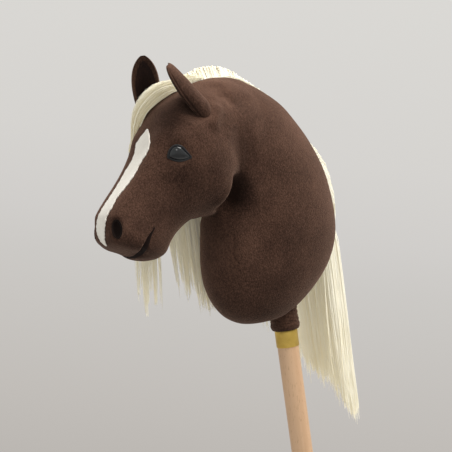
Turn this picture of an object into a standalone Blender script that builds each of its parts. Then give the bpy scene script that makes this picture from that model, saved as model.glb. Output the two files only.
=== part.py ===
"""Hobby horse: a stuffed horse's head and neck that lifts off a round beech stick.

Metres, +Z up along the stick, origin at the middle of the stick's foot. The horse faces -X and
its left side is -Y. The head carries a socket tube that slides over the top of the stick and
rests on a brass ferrule.
"""
import math

import bmesh
import bpy
import numpy as np
from mathutils import Vector
from mathutils.bvhtree import BVHTree

# Clearance between two pieces that touch.
GAP = 0.0003

# Stick, ferrule and the socket in the neck.
STICK_DIAMETER = 0.0250
STICK_SHOWN = 0.5000
STICK_CHAMFER = 0.0015
FERRULE_LENGTH = 0.0200
FERRULE_WALL = 0.0006
SOCKET_DEPTH = 0.1700
SOCKET_WALL = 0.0011
STICK_END_ROOM = 0.0020
CAP_SPIGOT = 0.0100
CAP_FLANGE = 0.0030
ROUND_SIDES = 40

# Fabric sleeve between the ferrule and the neck.
SLEEVE_SHOWN = 0.0170
SLEEVE_WALL = 0.0009
SLEEVE_REACH = 0.0460
HEM_HEIGHT = 0.0085
HEM_ROLL = 0.0005
SLEEVE_PUFF = 0.0008

# Neck sections from the lowest point up: height, centre x, half depth, half width.
NECK_SECTIONS = [
    (0.0000, -0.0340, 0.0000, 0.0000),
    (0.0015, -0.0340, 0.0240, 0.0170),
    (0.0070, -0.0340, 0.0390, 0.0280),
    (0.0170, -0.0310, 0.0550, 0.0380),
    (0.0330, -0.0245, 0.0720, 0.0470),
    (0.0520, -0.0175, 0.0850, 0.0540),
    (0.0740, -0.0120, 0.0910, 0.0580),
    (0.0990, -0.0075, 0.0910, 0.0600),
    (0.1300, -0.0055, 0.0880, 0.0590),
    (0.1620, -0.0085, 0.0850, 0.0560),
    (0.1920, -0.0175, 0.0810, 0.0520),
    (0.2220, -0.0330, 0.0800, 0.0460),
    (0.2420, -0.0440, 0.0770, 0.0410),
    (0.2590, -0.0550, 0.0670, 0.0340),
    (0.2730, -0.0620, 0.0510, 0.0250),
    (0.2830, -0.0650, 0.0310, 0.0150),
    (0.2870, -0.0660, 0.0000, 0.0000),
]
NECK_SIDES = 36

# Head sections from behind the jaw to the muzzle: x and height of the ridge, x and height of
# the jaw, half width, and the power of the section (2 is an ellipse, more is squarer).
HEAD_SECTIONS = [
    (-0.0240, 0.2400, -0.0240, 0.1960, 0.0080, 2.00),
    (-0.0300, 0.2620, -0.0300, 0.1780, 0.0200, 2.00),
    (-0.0480, 0.2770, -0.0420, 0.1640, 0.0330, 2.00),
    (-0.0740, 0.2850, -0.0600, 0.1520, 0.0420, 2.05),
    (-0.1050, 0.2790, -0.0800, 0.1390, 0.0530, 2.10),
    (-0.1340, 0.2675, -0.0930, 0.1355, 0.0570, 2.15),
    (-0.1520, 0.2510, -0.1000, 0.1345, 0.0560, 2.20),
    (-0.1640, 0.2340, -0.1120, 0.1345, 0.0520, 2.20),
    (-0.1740, 0.2180, -0.1270, 0.1330, 0.0450, 2.20),
    (-0.1880, 0.2020, -0.1410, 0.1270, 0.0385, 2.20),
    (-0.2040, 0.1870, -0.1520, 0.1190, 0.0345, 2.20),
    (-0.2190, 0.1740, -0.1610, 0.1090, 0.0335, 2.20),
    (-0.2320, 0.1610, -0.1720, 0.1020, 0.0345, 2.20),
    (-0.2410, 0.1490, -0.1880, 0.1000, 0.0330, 2.20),
    (-0.2430, 0.1390, -0.2050, 0.1055, 0.0270, 2.10),
    (-0.2400, 0.1300, -0.2180, 0.1140, 0.0170, 2.00),
    (-0.2320, 0.1220, -0.2320, 0.1220, 0.0000, 2.00),
]
HEAD_SIDES = 32
SECTION_STEPS = 2
# Steps of the curve on which a place between two sections is looked up.
CURVE_STEPS = 40
# Distance from the middle plane at which a ray at the side of the toy starts.
CAST_START = 0.5000

# Felt blaze: half width at the head's section numbers.
BLAZE = [(6.5, 0.0008), (7.0, 0.0085), (7.5, 0.0130), (8.0, 0.0118), (9.0, 0.0095), (10.0, 0.0103),
         (11.0, 0.0090), (12.0, 0.0094), (13.0, 0.0078), (14.0, 0.0062), (15.0, 0.0030), (15.5, 0.0008)]
BLAZE_THICKNESS = 0.0015

# Eyes: where the middle lies on the side of the head, and how they face.
EYE_X = -0.1548
EYE_HEIGHT_ON_HEAD = 0.2118
EYE_FORWARD = math.radians(37.0)
EYE_UPWARD = math.radians(10.5)
EYE_LENGTH = 0.0212
EYE_HEIGHT = 0.0162
# Height of the almond beside its corners, as a share of an ellipse's.
EYE_FULLNESS = 0.80
EYE_DOME = 0.0046
RIM_WIDTH = 0.0019
RIM_PROUD = 0.0010
EYE_SEAT = 0.0030
EYE_OVERCUT = 0.0080
SHANK_DIAMETER = 0.0045
SHANK_LENGTH = 0.0120
WASHER_DIAMETER = 0.0140
WASHER_THICKNESS = 0.0012
WASHER_DEPTH = 0.0050
EYE_SIDES = 20

# Nostrils: a sewn-in pocket with a felt cup.
NOSTRIL_X = -0.2338
NOSTRIL_HEIGHT = 0.1431
NOSTRIL_FORWARD = math.radians(43.0)
NOSTRIL_UPWARD = math.radians(15.0)
NOSTRIL_LENGTH = 0.0215
NOSTRIL_WIDTH = 0.0110
NOSTRIL_DEPTH = 0.0075
NOSTRIL_RECESS = 0.0010
FELT = 0.0010

# Mouth: a slit from the corner down to the front of the chin, with a felt lining.
MOUTH_CORNER_X = -0.1955
MOUTH_CORNER_HEIGHT = 0.1374
MOUTH_SLOPE = math.radians(62.0)
MOUTH_SLOT = 0.0020
MOUTH_RECESS = 0.0012
MOUTH_STEP = 0.0030

# Ears: cupped shells with a lining, open to the front and the middle.
EAR_LENGTH = 0.0700
EAR_ROOT = 0.0200
EAR_END = 0.9850
EAR_HALF_ARC = 0.0232
# The half arc's share at the root, how much the share grows towards the tip, and the two powers
# that round the tip off.
EAR_ROOT_SHARE = 0.68
EAR_SPREAD = 0.50
EAR_TIP_POWERS = (2.2, 0.6)
EAR_CUP_ROOT = math.radians(105.0)
EAR_CUP_TIP = math.radians(38.0)
EAR_FACING = math.radians(50.0)
EAR_WALL = 0.0012
LINING_WALL = 0.0008
EAR_COLUMNS = 11
EAR_ROWS = 10
# Each ear's root, x and height on the head, and how far it leans forward and in to the middle.
EAR_ROOTS = {"left": (-0.1125, 0.2470), "right": (-0.1240, 0.2530)}
EAR_LEANS = {"left": (math.radians(24.0), math.radians(14.0)),
             "right": (math.radians(9.0), math.radians(14.0))}

# Mane: a sewn tape along the crest and tresses that fall to the right side.
TAPE_START = 0.0040
TAPE_LENGTH = 0.2200
TAPE_WIDTH = 0.0080
TAPE_THICKNESS = 0.0012
# Half the length over which the crest's direction is taken.
CREST_REACH = 0.0040
TRESS_THICKNESS = 0.0100
TRESS_FIRST = 0.0120
TRESS_STEP = 0.0250
TRESS_HUMP = 0.0100
TRESS_SPREAD = 0.0900
TRESS_SINK = 0.0012
TRESS_STEPS = 10
LOCK_SIDES = 10
# A lock rounds up over this share of its run, and narrows by this share down to its end.
LOCK_ROOT_SHARE = 0.05
LOCK_NARROWING = 0.25
# How a tress arches over the tape: shares of the hump's height and of the tape's width.
TRESS_ARCH = [(0.00, -0.25), (0.55, 0.10), (0.45, 1.10)]
# Falling hair looks this many times for what it rests on, up to this share of the next step.
REST_LOOKS = 8
REST_AHEAD = 0.80
# Each tress: x where it falls, how far below the neck's lowest point it ends, and its width.
TRESSES = [(-0.1160, -0.0400, 0.0220), (-0.0915, -0.0300, 0.0220), (-0.0665, -0.0200, 0.0230),
           (-0.0410, -0.0160, 0.0230), (-0.0140, -0.0120, 0.0230), (0.0160, -0.0100, 0.0230),
           (0.0520, 0.0700, 0.0180), (0.0735, 0.1050, 0.0180), (0.0950, 0.1300, 0.0180)]

# Forelock: section number on the head and distance to the right of the ridge, then the fall.
FORELOCK_ON_HEAD = [(3.4, 0.0010), (4.0, 0.0040), (4.5, 0.0090), (4.9, 0.0150), (5.3, 0.0220)]
FORELOCK_FALL_X = -0.1420
FORELOCK_END = -0.0350
FORELOCK_WIDTH = 0.0190
FORELOCK_THICKNESS = 0.0090
FORELOCK_SINK = 0.0020
FORELOCK_STEPS = 14
# Room that falling hair leaves beside the right eye: how far it reaches about the eye's middle,
# and how far it stands out of the head.
EYE_ROOM = 0.0200
EYE_ROOM_OUT = 0.0150
# Step along the head over which the lie of the forelock is measured.
LIE_STEP = 0.02
LIE_OFFSET = 0.0005

FERRULE_Z = STICK_SHOWN
HEM_Z = FERRULE_Z + FERRULE_LENGTH + GAP
NECK_Z = HEM_Z + SLEEVE_SHOWN
STICK_R = STICK_DIAMETER / 2
SOCKET_BORE_R = STICK_R + GAP
SOCKET_R = SOCKET_BORE_R + SOCKET_WALL
STICK_TOP = HEM_Z + SOCKET_DEPTH
CAP_Z = STICK_TOP + STICK_END_ROOM
SOCKET_TOP = CAP_Z + CAP_SPIGOT
CAP_TOP = SOCKET_TOP + GAP + CAP_FLANGE

COLOURS = {
    "beech": ((0.66, 0.42, 0.24), 0.50, 0.0),
    "brass": ((0.72, 0.50, 0.16), 0.30, 1.0),
    "socket_plastic": ((0.10, 0.10, 0.10), 0.45, 0.0),
    "velour": ((0.115, 0.070, 0.052), 0.95, 0.0),
    "lining_velour": ((0.035, 0.020, 0.016), 0.95, 0.0),
    "dark_felt": ((0.025, 0.016, 0.013), 0.95, 0.0),
    "cream_felt": ((0.76, 0.71, 0.62), 0.90, 0.0),
    "hair": ((0.80, 0.73, 0.52), 0.60, 0.0),
    "tape": ((0.70, 0.64, 0.48), 0.85, 0.0),
    "eye_resin": ((0.030, 0.038, 0.038), 0.06, 0.0),
    "rim_leather": ((0.012, 0.012, 0.012), 0.40, 0.0),
    "washer_nylon": ((0.55, 0.55, 0.52), 0.50, 0.0),
}


def clear_scene():
    """Remove every object."""
    for thing in list(bpy.data.objects):
        bpy.data.objects.remove(thing, do_unlink=True)


def material(name):
    """The Principled material of that name, made on first use."""
    found = bpy.data.materials.get(name)
    if found:
        return found
    made = bpy.data.materials.new(name)
    made.use_nodes = True
    colour, roughness, metallic = COLOURS[name]
    shader = made.node_tree.nodes["Principled BSDF"]
    shader.inputs["Base Color"].default_value = (*colour, 1.0)
    shader.inputs["Roughness"].default_value = roughness
    shader.inputs["Metallic"].default_value = metallic
    return made


def add_object(name, bm, finish=None):
    """Turn a bmesh into a named object with its faces pointing out."""
    bmesh.ops.recalc_face_normals(bm, faces=bm.faces)
    mesh = bpy.data.meshes.new(name)
    bm.to_mesh(mesh)
    bm.free()
    mesh.shade_smooth()
    mesh.set_sharp_from_angle(angle=math.radians(40.0))
    thing = bpy.data.objects.new(name, mesh)
    bpy.context.scene.collection.objects.link(thing)
    if finish:
        mesh.materials.append(material(finish))
    return thing


def hide_as_cutter(thing):
    """Keep a cutter out of the model."""
    thing.hide_render = True
    thing.display_type = "WIRE"
    return thing


def cut(thing, cutter, operation="DIFFERENCE"):
    """Cut an object with a hidden one."""
    step = thing.modifiers.new(cutter.name, "BOOLEAN")
    step.operation = operation
    step.solver = "EXACT"
    step.object = cutter


def loft(rings):
    """A closed solid through rings of points; a ring of no size is one point."""
    bm = bmesh.new()
    rows = []
    for ring in rings:
        points = [Vector(p) for p in ring]
        if (points[0] - points[len(points) // 2]).length < 1e-7:
            rows.append([bm.verts.new(points[0])])
        else:
            rows.append([bm.verts.new(p) for p in points])
    for low, high in zip(rows, rows[1:]):
        count = max(len(low), len(high))
        for i in range(count):
            j = (i + 1) % count
            corners = [low[i % len(low)], low[j % len(low)], high[j % len(high)], high[i % len(high)]]
            bm.faces.new(list(dict.fromkeys(corners)))
    for row in (rows[0], rows[-1]):
        if len(row) > 1:
            bm.faces.new(row)
    return bm


def closed_ring(rings):
    """A solid ring: loops of points joined in order, the last to the first."""
    bm = bmesh.new()
    rows = [[bm.verts.new(Vector(p)) for p in ring] for ring in rings]
    count = len(rows[0])
    for low, high in zip(rows, rows[1:] + rows[:1]):
        for i in range(count):
            j = (i + 1) % count
            bm.faces.new([low[i], low[j], high[j], high[i]])
    return bm


def thick_sheet(points, lower, upper):
    """A closed sheet between two offsets along the normals of a grid of points."""
    across = np.gradient(points, axis=1)
    along = np.gradient(points, axis=0)
    normals = np.cross(along, across)
    normals /= np.linalg.norm(normals, axis=-1, keepdims=True)
    rows, columns = points.shape[:2]
    bm = bmesh.new()
    sides = []
    for offset in (lower, upper):
        moved = points + normals * offset
        sides.append([[bm.verts.new(Vector(p)) for p in row] for row in moved])
    for side in sides:
        for i in range(rows - 1):
            for j in range(columns - 1):
                bm.faces.new([side[i][j], side[i + 1][j], side[i + 1][j + 1], side[i][j + 1]])
    rim = [(i, 0) for i in range(rows)]
    rim += [(rows - 1, j) for j in range(1, columns)]
    rim += [(i, columns - 1) for i in range(rows - 2, -1, -1)]
    rim += [(0, j) for j in range(columns - 2, 0, -1)]
    for (i, j), (k, m) in zip(rim, rim[1:] + rim[:1]):
        bm.faces.new([sides[0][i][j], sides[0][k][m], sides[1][k][m], sides[1][i][j]])
    return bm


def turned(profile):
    """A solid turned about the stick's axis from (radius, height) points."""
    angles = [2 * math.pi * i / ROUND_SIDES for i in range(ROUND_SIDES)]
    return [[(r * math.cos(a), r * math.sin(a), z) for a in angles] for r, z in profile]


def between(rows, steps):
    """Rows on a Catmull-Rom curve through the given rows, some steps to a gap."""
    given = np.array(rows, float)
    ends = np.vstack([2 * given[0] - given[1], given, 2 * given[-1] - given[-2]])
    t = np.linspace(0, 1, steps, endpoint=False)[:, None]
    made = []
    for a, b, c, d in zip(ends, ends[1:], ends[2:], ends[3:]):
        made.append(0.5 * (2 * b + (c - a) * t + (2 * a - 5 * b + 4 * c - d) * t**2
                           + (3 * b - a - 3 * c + d) * t**3))
    return np.vstack(made + [given[-1:]])


def row_at(rows, place):
    """The row at a fractional place between the given rows, on the same curve."""
    fine = between(rows, CURVE_STEPS)
    where = np.clip(np.atleast_1d(place) * CURVE_STEPS, 0, len(fine) - 1)
    low = np.minimum(where.astype(int), len(fine) - 2)
    part = (where - low)[:, None]
    return fine[low] * (1 - part) + fine[low + 1] * part


def neck_rings(steps=SECTION_STEPS, sides=NECK_SIDES):
    """Level ellipses from the underside of the neck to the poll."""
    rows = between(NECK_SECTIONS, steps)
    turn = np.linspace(0, 2 * np.pi, sides, endpoint=False)
    depth = np.clip(rows[:, 2:3], 0, None)
    width = np.clip(rows[:, 3:4], 0, None)
    height = np.repeat(NECK_Z + rows[:, 0:1], sides, axis=1)
    return np.stack([rows[:, 1:2] + depth * np.cos(turn), width * np.sin(turn), height], axis=-1)


def head_points(rows, turn):
    """Points of superellipse sections that span from the ridge to the jaw."""
    cosine, sine = np.cos(turn), np.sin(turn)
    power = 2 / rows[:, 5:6]
    reach = np.sign(cosine) * np.abs(cosine) ** power
    side = np.clip(rows[:, 4:5], 0, None) * np.sign(sine) * np.abs(sine) ** power
    middle = (rows[:, 0:2] + rows[:, 2:4]) / 2
    half = (rows[:, 0:2] - rows[:, 2:4]) / 2
    x = middle[:, 0:1] + half[:, 0:1] * reach
    z = NECK_Z + middle[:, 1:2] + half[:, 1:2] * reach
    return np.stack([x, side, z], axis=-1)


def head_rings(steps=SECTION_STEPS, sides=HEAD_SIDES):
    """The head's sections from behind the jaw to the muzzle."""
    turn = np.linspace(0, 2 * np.pi, sides, endpoint=False)
    return head_points(between(HEAD_SECTIONS, steps), turn)


def on_ridge(place, offset):
    """A point on the upper side of the head, some distance to the right of its ridge."""
    rows = row_at(HEAD_SECTIONS, place)
    share = np.clip(np.abs(offset) / rows[:, 4], 0, 0.98)
    turn = np.sign(offset) * np.arcsin(share ** (rows[:, 5] / 2))
    return head_points(rows, np.atleast_1d(turn)[:, None])[:, 0]


def grown(bm, amount):
    """Move every point of a closed mesh along its normal."""
    bmesh.ops.recalc_face_normals(bm, faces=bm.faces)
    bm.normal_update()
    moves = [(v, v.normal * amount) for v in bm.verts]
    for vertex, move in moves:
        vertex.co += move
    return bm


class Body:
    """The plain shape of the head or neck, for seating and cutting other pieces."""

    def __init__(self, name, rings):
        """Make the hidden envelope, one gap larger than the shape."""
        self.rings = rings
        self.envelope = hide_as_cutter(add_object(name, grown(loft(rings), GAP)))
        plain = loft(rings)
        bmesh.ops.recalc_face_normals(plain, faces=plain.faces)
        self.tree = BVHTree.FromBMesh(plain)
        plain.free()

    def side(self, x, z, sign):
        """Distance of the surface from the middle plane, on one side, or 0 off the shape."""
        start = Vector((x, sign * CAST_START, z))
        found = self.tree.ray_cast(start, Vector((0, -sign, 0)))[0]
        return abs(found.y) if found else 0.0


def stick_pieces():
    """The beech stick and its brass ferrule."""
    c = STICK_CHAMFER
    stick = [(0, 0), (STICK_R - c, 0), (STICK_R, c), (STICK_R, FERRULE_Z), (STICK_R, HEM_Z),
             (STICK_R, STICK_TOP - c), (STICK_R - c, STICK_TOP), (0, STICK_TOP)]
    add_object("stick", loft(turned(stick)), "beech")
    inner = STICK_R + GAP
    outer = inner + FERRULE_WALL
    top = FERRULE_Z + FERRULE_LENGTH
    ferrule = [(inner, FERRULE_Z), (outer, FERRULE_Z), (outer, top), (inner, top)]
    add_object("ferrule", closed_ring(turned(ferrule)), "brass")


def socket_pieces():
    """The tube in the neck and the cap that closes its upper end."""
    tube = [(SOCKET_BORE_R, HEM_Z), (SOCKET_R, HEM_Z),
            (SOCKET_R, SOCKET_TOP), (SOCKET_BORE_R, SOCKET_TOP)]
    add_object("socket_tube", closed_ring(turned(tube)), "socket_plastic")
    spigot = SOCKET_BORE_R - GAP
    flange = SOCKET_TOP + GAP
    cap = [(0, CAP_Z), (spigot, CAP_Z), (spigot, flange),
           (SOCKET_R, flange), (SOCKET_R, CAP_TOP), (0, CAP_TOP)]
    add_object("socket_cap", loft(turned(cap)), "socket_plastic")


def neck_piece(neck):
    """The stuffed neck, bored for the socket."""
    piece = add_object("neck", loft(neck.rings), "velour")
    radius = SOCKET_R + GAP
    top = CAP_TOP + GAP
    bore = turned([(0, HEM_Z), (radius, HEM_Z), (radius, top), (0, top)])
    cut(piece, hide_as_cutter(add_object("neck_bore", loft(bore))))


def sleeve_pieces(neck):
    """The gathered sleeve under the neck and its hem."""
    inner = SOCKET_R + GAP
    outer = inner + SLEEVE_WALL
    join = HEM_Z + HEM_HEIGHT + GAP
    reach = NECK_Z + SLEEVE_REACH
    waist = (join + NECK_Z) / 2
    sleeve = [(inner, join), (outer, join), (outer + SLEEVE_PUFF, waist), (outer, NECK_Z + SLEEVE_WALL),
              (outer, reach), (inner, reach)]
    cut(add_object("neck_sleeve", closed_ring(turned(sleeve)), "velour"), neck.envelope)
    top = HEM_Z + HEM_HEIGHT
    roll = outer + HEM_ROLL
    hem = [(inner, HEM_Z), (outer, HEM_Z), (roll, HEM_Z + HEM_ROLL),
           (roll, top - HEM_ROLL), (outer, top), (inner, top)]
    add_object("sleeve_hem", closed_ring(turned(hem)), "velour")


class Seat:
    """A place on the side of the head with its own axes: rearward, upward and outward."""

    def __init__(self, head, x, height, forward, upward, sign):
        """Find the surface at that place and face the seat forward and up by two angles."""
        z = NECK_Z + height
        self.origin = np.array([x, sign * head.side(x, z, sign), z])
        level = math.cos(upward)
        self.out = np.array([-math.sin(forward) * level, sign * math.cos(forward) * level, math.sin(upward)])
        self.along = np.array([math.cos(forward), sign * math.sin(forward), 0.0])
        self.up = np.cross(self.along, self.out) * -sign

    def ring(self, outline, out):
        """A loop of (along, up) points at a distance out from the surface."""
        return [tuple(self.origin + a * self.along + u * self.up + out * self.out) for a, u in outline]


def almond(length, height):
    """An eye's outline: round above and below, drawn to a corner at each end."""
    turn = [2 * math.pi * i / EYE_SIDES for i in range(EYE_SIDES)]
    full = [EYE_FULLNESS + (1 - EYE_FULLNESS) * abs(math.sin(t)) for t in turn]
    return [(length / 2 * math.cos(t), height / 2 * math.sin(t) * f) for t, f in zip(turn, full)]


def ellipse(half_length, half_height):
    """An elliptical outline."""
    turn = [2 * math.pi * i / EYE_SIDES for i in range(EYE_SIDES)]
    return [(half_length * math.cos(t), half_height * math.sin(t)) for t in turn]


def circle(radius):
    """A round outline."""
    return ellipse(radius, radius)


def eye_pieces(head, head_piece, side, sign):
    """A domed eye on a shank, its rim, its washer and the pocket they sit in."""
    seat = Seat(head, EYE_X, EYE_HEIGHT_ON_HEAD, EYE_FORWARD, EYE_UPWARD, sign)
    floor = -EYE_SEAT
    back = floor + GAP
    shank_r = SHANK_DIAMETER / 2
    shank_end = floor - SHANK_LENGTH
    rings = [seat.ring(circle(0), shank_end), seat.ring(circle(shank_r), shank_end),
             seat.ring(circle(shank_r), back), seat.ring(almond(EYE_LENGTH, EYE_HEIGHT), back),
             seat.ring(almond(EYE_LENGTH, EYE_HEIGHT), 0)]
    for part in (0.25, 0.5, 0.75, 0.92):
        size = math.sqrt(1 - part**2)
        rings.append(seat.ring(almond(EYE_LENGTH * size, EYE_HEIGHT * size), EYE_DOME * part))
    rings.append(seat.ring(circle(0), EYE_DOME))
    add_object(f"eye_{side}", loft(rings), "eye_resin")

    inner = 2 * GAP
    outer = inner + 2 * RIM_WIDTH
    crown = inner + RIM_WIDTH
    loops = [(inner, back), (outer, back), (outer, 0.0), (crown, RIM_PROUD), (inner, 0.0)]
    rim = [seat.ring(almond(EYE_LENGTH + grow, EYE_HEIGHT + grow), out) for grow, out in loops]
    add_object(f"eye_rim_{side}", closed_ring(rim), "rim_leather")

    washer_r = WASHER_DIAMETER / 2
    hole_r = shank_r + GAP
    near = floor - WASHER_DEPTH
    far = near - WASHER_THICKNESS
    washer = [seat.ring(circle(r), out) for r, out in
              ((hole_r, near), (washer_r, near), (washer_r, far), (hole_r, far))]
    add_object(f"eye_washer_{side}", closed_ring(washer), "washer_nylon")

    pocket = almond(EYE_LENGTH + outer + 2 * GAP, EYE_HEIGHT + outer + 2 * GAP)
    end = shank_end - GAP
    rings = [seat.ring(circle(0), end), seat.ring(circle(hole_r), end), seat.ring(circle(hole_r), far - GAP),
             seat.ring(circle(washer_r + GAP), far - GAP), seat.ring(circle(washer_r + GAP), near + GAP),
             seat.ring(circle(hole_r), near + GAP), seat.ring(circle(hole_r), floor),
             seat.ring(pocket, floor), seat.ring(pocket, EYE_OVERCUT), seat.ring(circle(0), EYE_OVERCUT)]
    cut(head_piece, hide_as_cutter(add_object(f"eye_pocket_{side}", loft(rings))))


def nostril_pieces(head, head_piece, side, sign):
    """A pocket in the muzzle and the felt cup in it."""
    seat = Seat(head, NOSTRIL_X, NOSTRIL_HEIGHT, NOSTRIL_FORWARD, NOSTRIL_UPWARD, sign)
    half = (NOSTRIL_WIDTH / 2, NOSTRIL_LENGTH / 2)
    bowl = []
    for angle in (90, 70, 50, 30, 12, 0, -30, -60, -90):
        size = math.cos(math.radians(angle))
        out = -NOSTRIL_DEPTH * math.sin(math.radians(angle))
        bowl.append(seat.ring(ellipse(half[0] * size, half[1] * size), out))
    cut(head_piece, hide_as_cutter(add_object(f"nostril_pocket_{side}", loft(bowl))))
    cup = []
    for inset in (GAP, GAP + FELT):
        wall = []
        for angle in (90, 70, 50, 30, 12):
            size = math.cos(math.radians(angle))
            out = -(NOSTRIL_DEPTH - inset) * math.sin(math.radians(angle))
            loop = ellipse((half[0] - inset) * size, (half[1] - inset) * size)
            wall.append(seat.ring(loop, min(out, -NOSTRIL_RECESS)))
        cup += wall if inset == GAP else wall[::-1]
    add_object(f"nostril_{side}", loft(cup), "dark_felt")


def mouth_piece(head, head_piece):
    """The slit between the lips and the felt that lines it, a little short of the skin."""
    corner = np.array([MOUTH_CORNER_X, 0.0, NECK_Z + MOUTH_CORNER_HEIGHT])
    down = np.array([-math.cos(MOUTH_SLOPE), 0.0, -math.sin(MOUTH_SLOPE)])
    normal = np.array([-down[2], 0.0, down[0]])
    across = np.array([0.0, 2 * max(row[4] for row in HEAD_SECTIONS), 0.0])

    reaches = [GAP]
    while True:
        place = corner + down * (reaches[-1] + MOUTH_STEP)
        if head.side(place[0], place[2], 1) < 2 * MOUTH_RECESS:
            break
        reaches.append(reaches[-1] + MOUTH_STEP)
    half = normal * MOUTH_SLOT / 2
    ends = []
    for middle in (corner, corner + down * (reaches[-1] + 3 * MOUTH_STEP)):
        ends.append([tuple(middle + half + across), tuple(middle + half - across),
                     tuple(middle - half - across), tuple(middle - half + across)])
    cut(head_piece, hide_as_cutter(add_object("mouth_slit", loft(ends))))
    outline = []
    for sign in (1, -1):
        for reach in reaches if sign > 0 else reaches[::-1]:
            place = corner + down * reach
            place[1] = sign * (head.side(place[0], place[2], sign) - MOUTH_RECESS)
            outline.append(place)
    half = normal * (MOUTH_SLOT / 2 - GAP)
    faces = [[tuple(place + half * side) for place in outline] for side in (1, -1)]
    add_object("mouth_lining", loft(faces), "dark_felt")


def blaze_piece():
    """The felt stripe down the face, one gap off the head."""
    first, last = BLAZE[0][0], BLAZE[-1][0]
    inner = [i / SECTION_STEPS for i in range(len(HEAD_SECTIONS) * SECTION_STEPS)]
    places = np.array([first] + [p for p in inner if first < p < last] + [last])
    half = np.interp(places, [b[0] for b in BLAZE], [b[1] for b in BLAZE])
    columns = [on_ridge(places, half * share) for share in (1.0, 0.5, 0.001, -0.5, -1.0)]
    grid = np.stack(columns, axis=1)
    add_object("blaze", thick_sheet(grid, GAP, GAP + BLAZE_THICKNESS), "cream_felt")


def ear_pieces(neck, head, side, sign):
    """A cupped ear of velour with a darker lining, cut to the head at its root."""
    x, height = EAR_ROOTS[side]
    z = NECK_Z + height
    depth = max(body.side(x, z, sign) for body in (neck, head))
    root = np.array([x, sign * depth, z])
    forward, inward = EAR_LEANS[side]
    axis = np.array([-math.tan(forward), -sign * math.tan(inward), 1.0])
    axis /= np.linalg.norm(axis)
    opening = np.array([-math.cos(EAR_FACING), -sign * math.sin(EAR_FACING), 0.0])
    opening -= axis * (opening @ axis)
    opening /= np.linalg.norm(opening)
    wide = np.cross(axis, opening)
    behind = EAR_HALF_ARC * EAR_ROOT_SHARE / EAR_CUP_ROOT

    def shell(offset):
        """Grid of the ear's surface: a tube at the root that opens out to a leaf at the tip."""
        rows = []
        for u in np.linspace(-EAR_ROOT / EAR_LENGTH, EAR_END, EAR_ROWS):
            up = max(u, 0.0)
            cup = EAR_CUP_ROOT + (EAR_CUP_TIP - EAR_CUP_ROOT) * up
            rounding = max(0.0, 1 - up ** EAR_TIP_POWERS[0]) ** EAR_TIP_POWERS[1]
            arc = EAR_HALF_ARC * rounding * (EAR_ROOT_SHARE + EAR_SPREAD * up)
            radius = arc / cup
            turn = np.linspace(-cup, cup, EAR_COLUMNS)
            sideways = (radius - offset) * np.sin(turn)
            ahead = radius - (radius - offset) * np.cos(turn) - behind * (1 - up)
            rows.append(root + axis * u * EAR_LENGTH + np.outer(sideways, wide) + np.outer(ahead, opening))
        return np.array(rows)

    outer = thick_sheet(shell(0.0), 0.0, EAR_WALL)
    inner = thick_sheet(shell(GAP)[:-1, 1:-1], -LINING_WALL, 0.0)
    for name, shape, finish in (("ear", outer, "velour"), ("ear_lining", inner, "lining_velour")):
        piece = add_object(f"{name}_{side}", shape, finish)
        cut(piece, neck.envelope)
        cut(piece, head.envelope)


class Crest:
    """The line along the back of the neck from the poll, in steps of length."""

    def __init__(self, neck):
        """Read the rear points of the neck's sections from the top down."""
        self.line = neck.rings[::-1, 0]
        steps = np.linalg.norm(np.diff(self.line, axis=0), axis=1)
        self.length = np.concatenate([[0.0], np.cumsum(steps)])

    def at(self, length):
        """Point, direction along the crest and direction out of the neck."""
        point = np.array([np.interp(length, self.length, self.line[:, i]) for i in range(3)])
        before, after = (np.array([np.interp(length + reach, self.length, self.line[:, i]) for i in range(3)])
                         for reach in (-CREST_REACH, CREST_REACH))
        along = (after - before) / np.linalg.norm(after - before)
        return point, along, np.array([-along[2], 0.0, along[0]])


def tape_sheet(crest, room):
    """The woven tape that the mane is sewn to, or with some room all round it."""
    first, last = TAPE_START, TAPE_START + TAPE_LENGTH
    rows = []
    for s in [first - room] + [s for s in crest.length if first < s < last] + [last + room]:
        point, _, out = crest.at(s)
        side = np.array([0.0, TAPE_WIDTH / 2 + room, 0.0])
        rows.append([point + out * GAP + side * share for share in (-1, 0, 1)])
    return thick_sheet(np.array(rows), -room, TAPE_THICKNESS + room)


def swept(path, wide, width, thickness):
    """A flat lock of hair along a path, drawn to a point at its end and rounded at its root."""
    path = np.array(path)
    heading = np.gradient(path, axis=0)
    heading /= np.linalg.norm(heading, axis=1, keepdims=True)
    run = np.concatenate([[0.0], np.cumsum(np.linalg.norm(np.diff(path, axis=0), axis=1))])
    run /= run[-1]
    turn = np.linspace(0, 2 * np.pi, LOCK_SIDES, endpoint=False)
    rings = []
    for place, ahead, across, share in zip(path, heading, wide, run):
        flat = across - ahead * (across @ ahead)
        flat /= np.linalg.norm(flat)
        thick = np.cross(ahead, flat)
        root = math.sqrt(min(1.0, share / LOCK_ROOT_SHARE))
        broad = flat * width / 2 * root * math.sqrt(1 - share**6) * (1 - LOCK_NARROWING * share)
        deep = thick * thickness / 2 * root * math.sqrt(1 - share**4)
        rings.append([tuple(place + broad * math.cos(t) + deep * math.sin(t)) for t in turn])
    return loft(rings)


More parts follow.
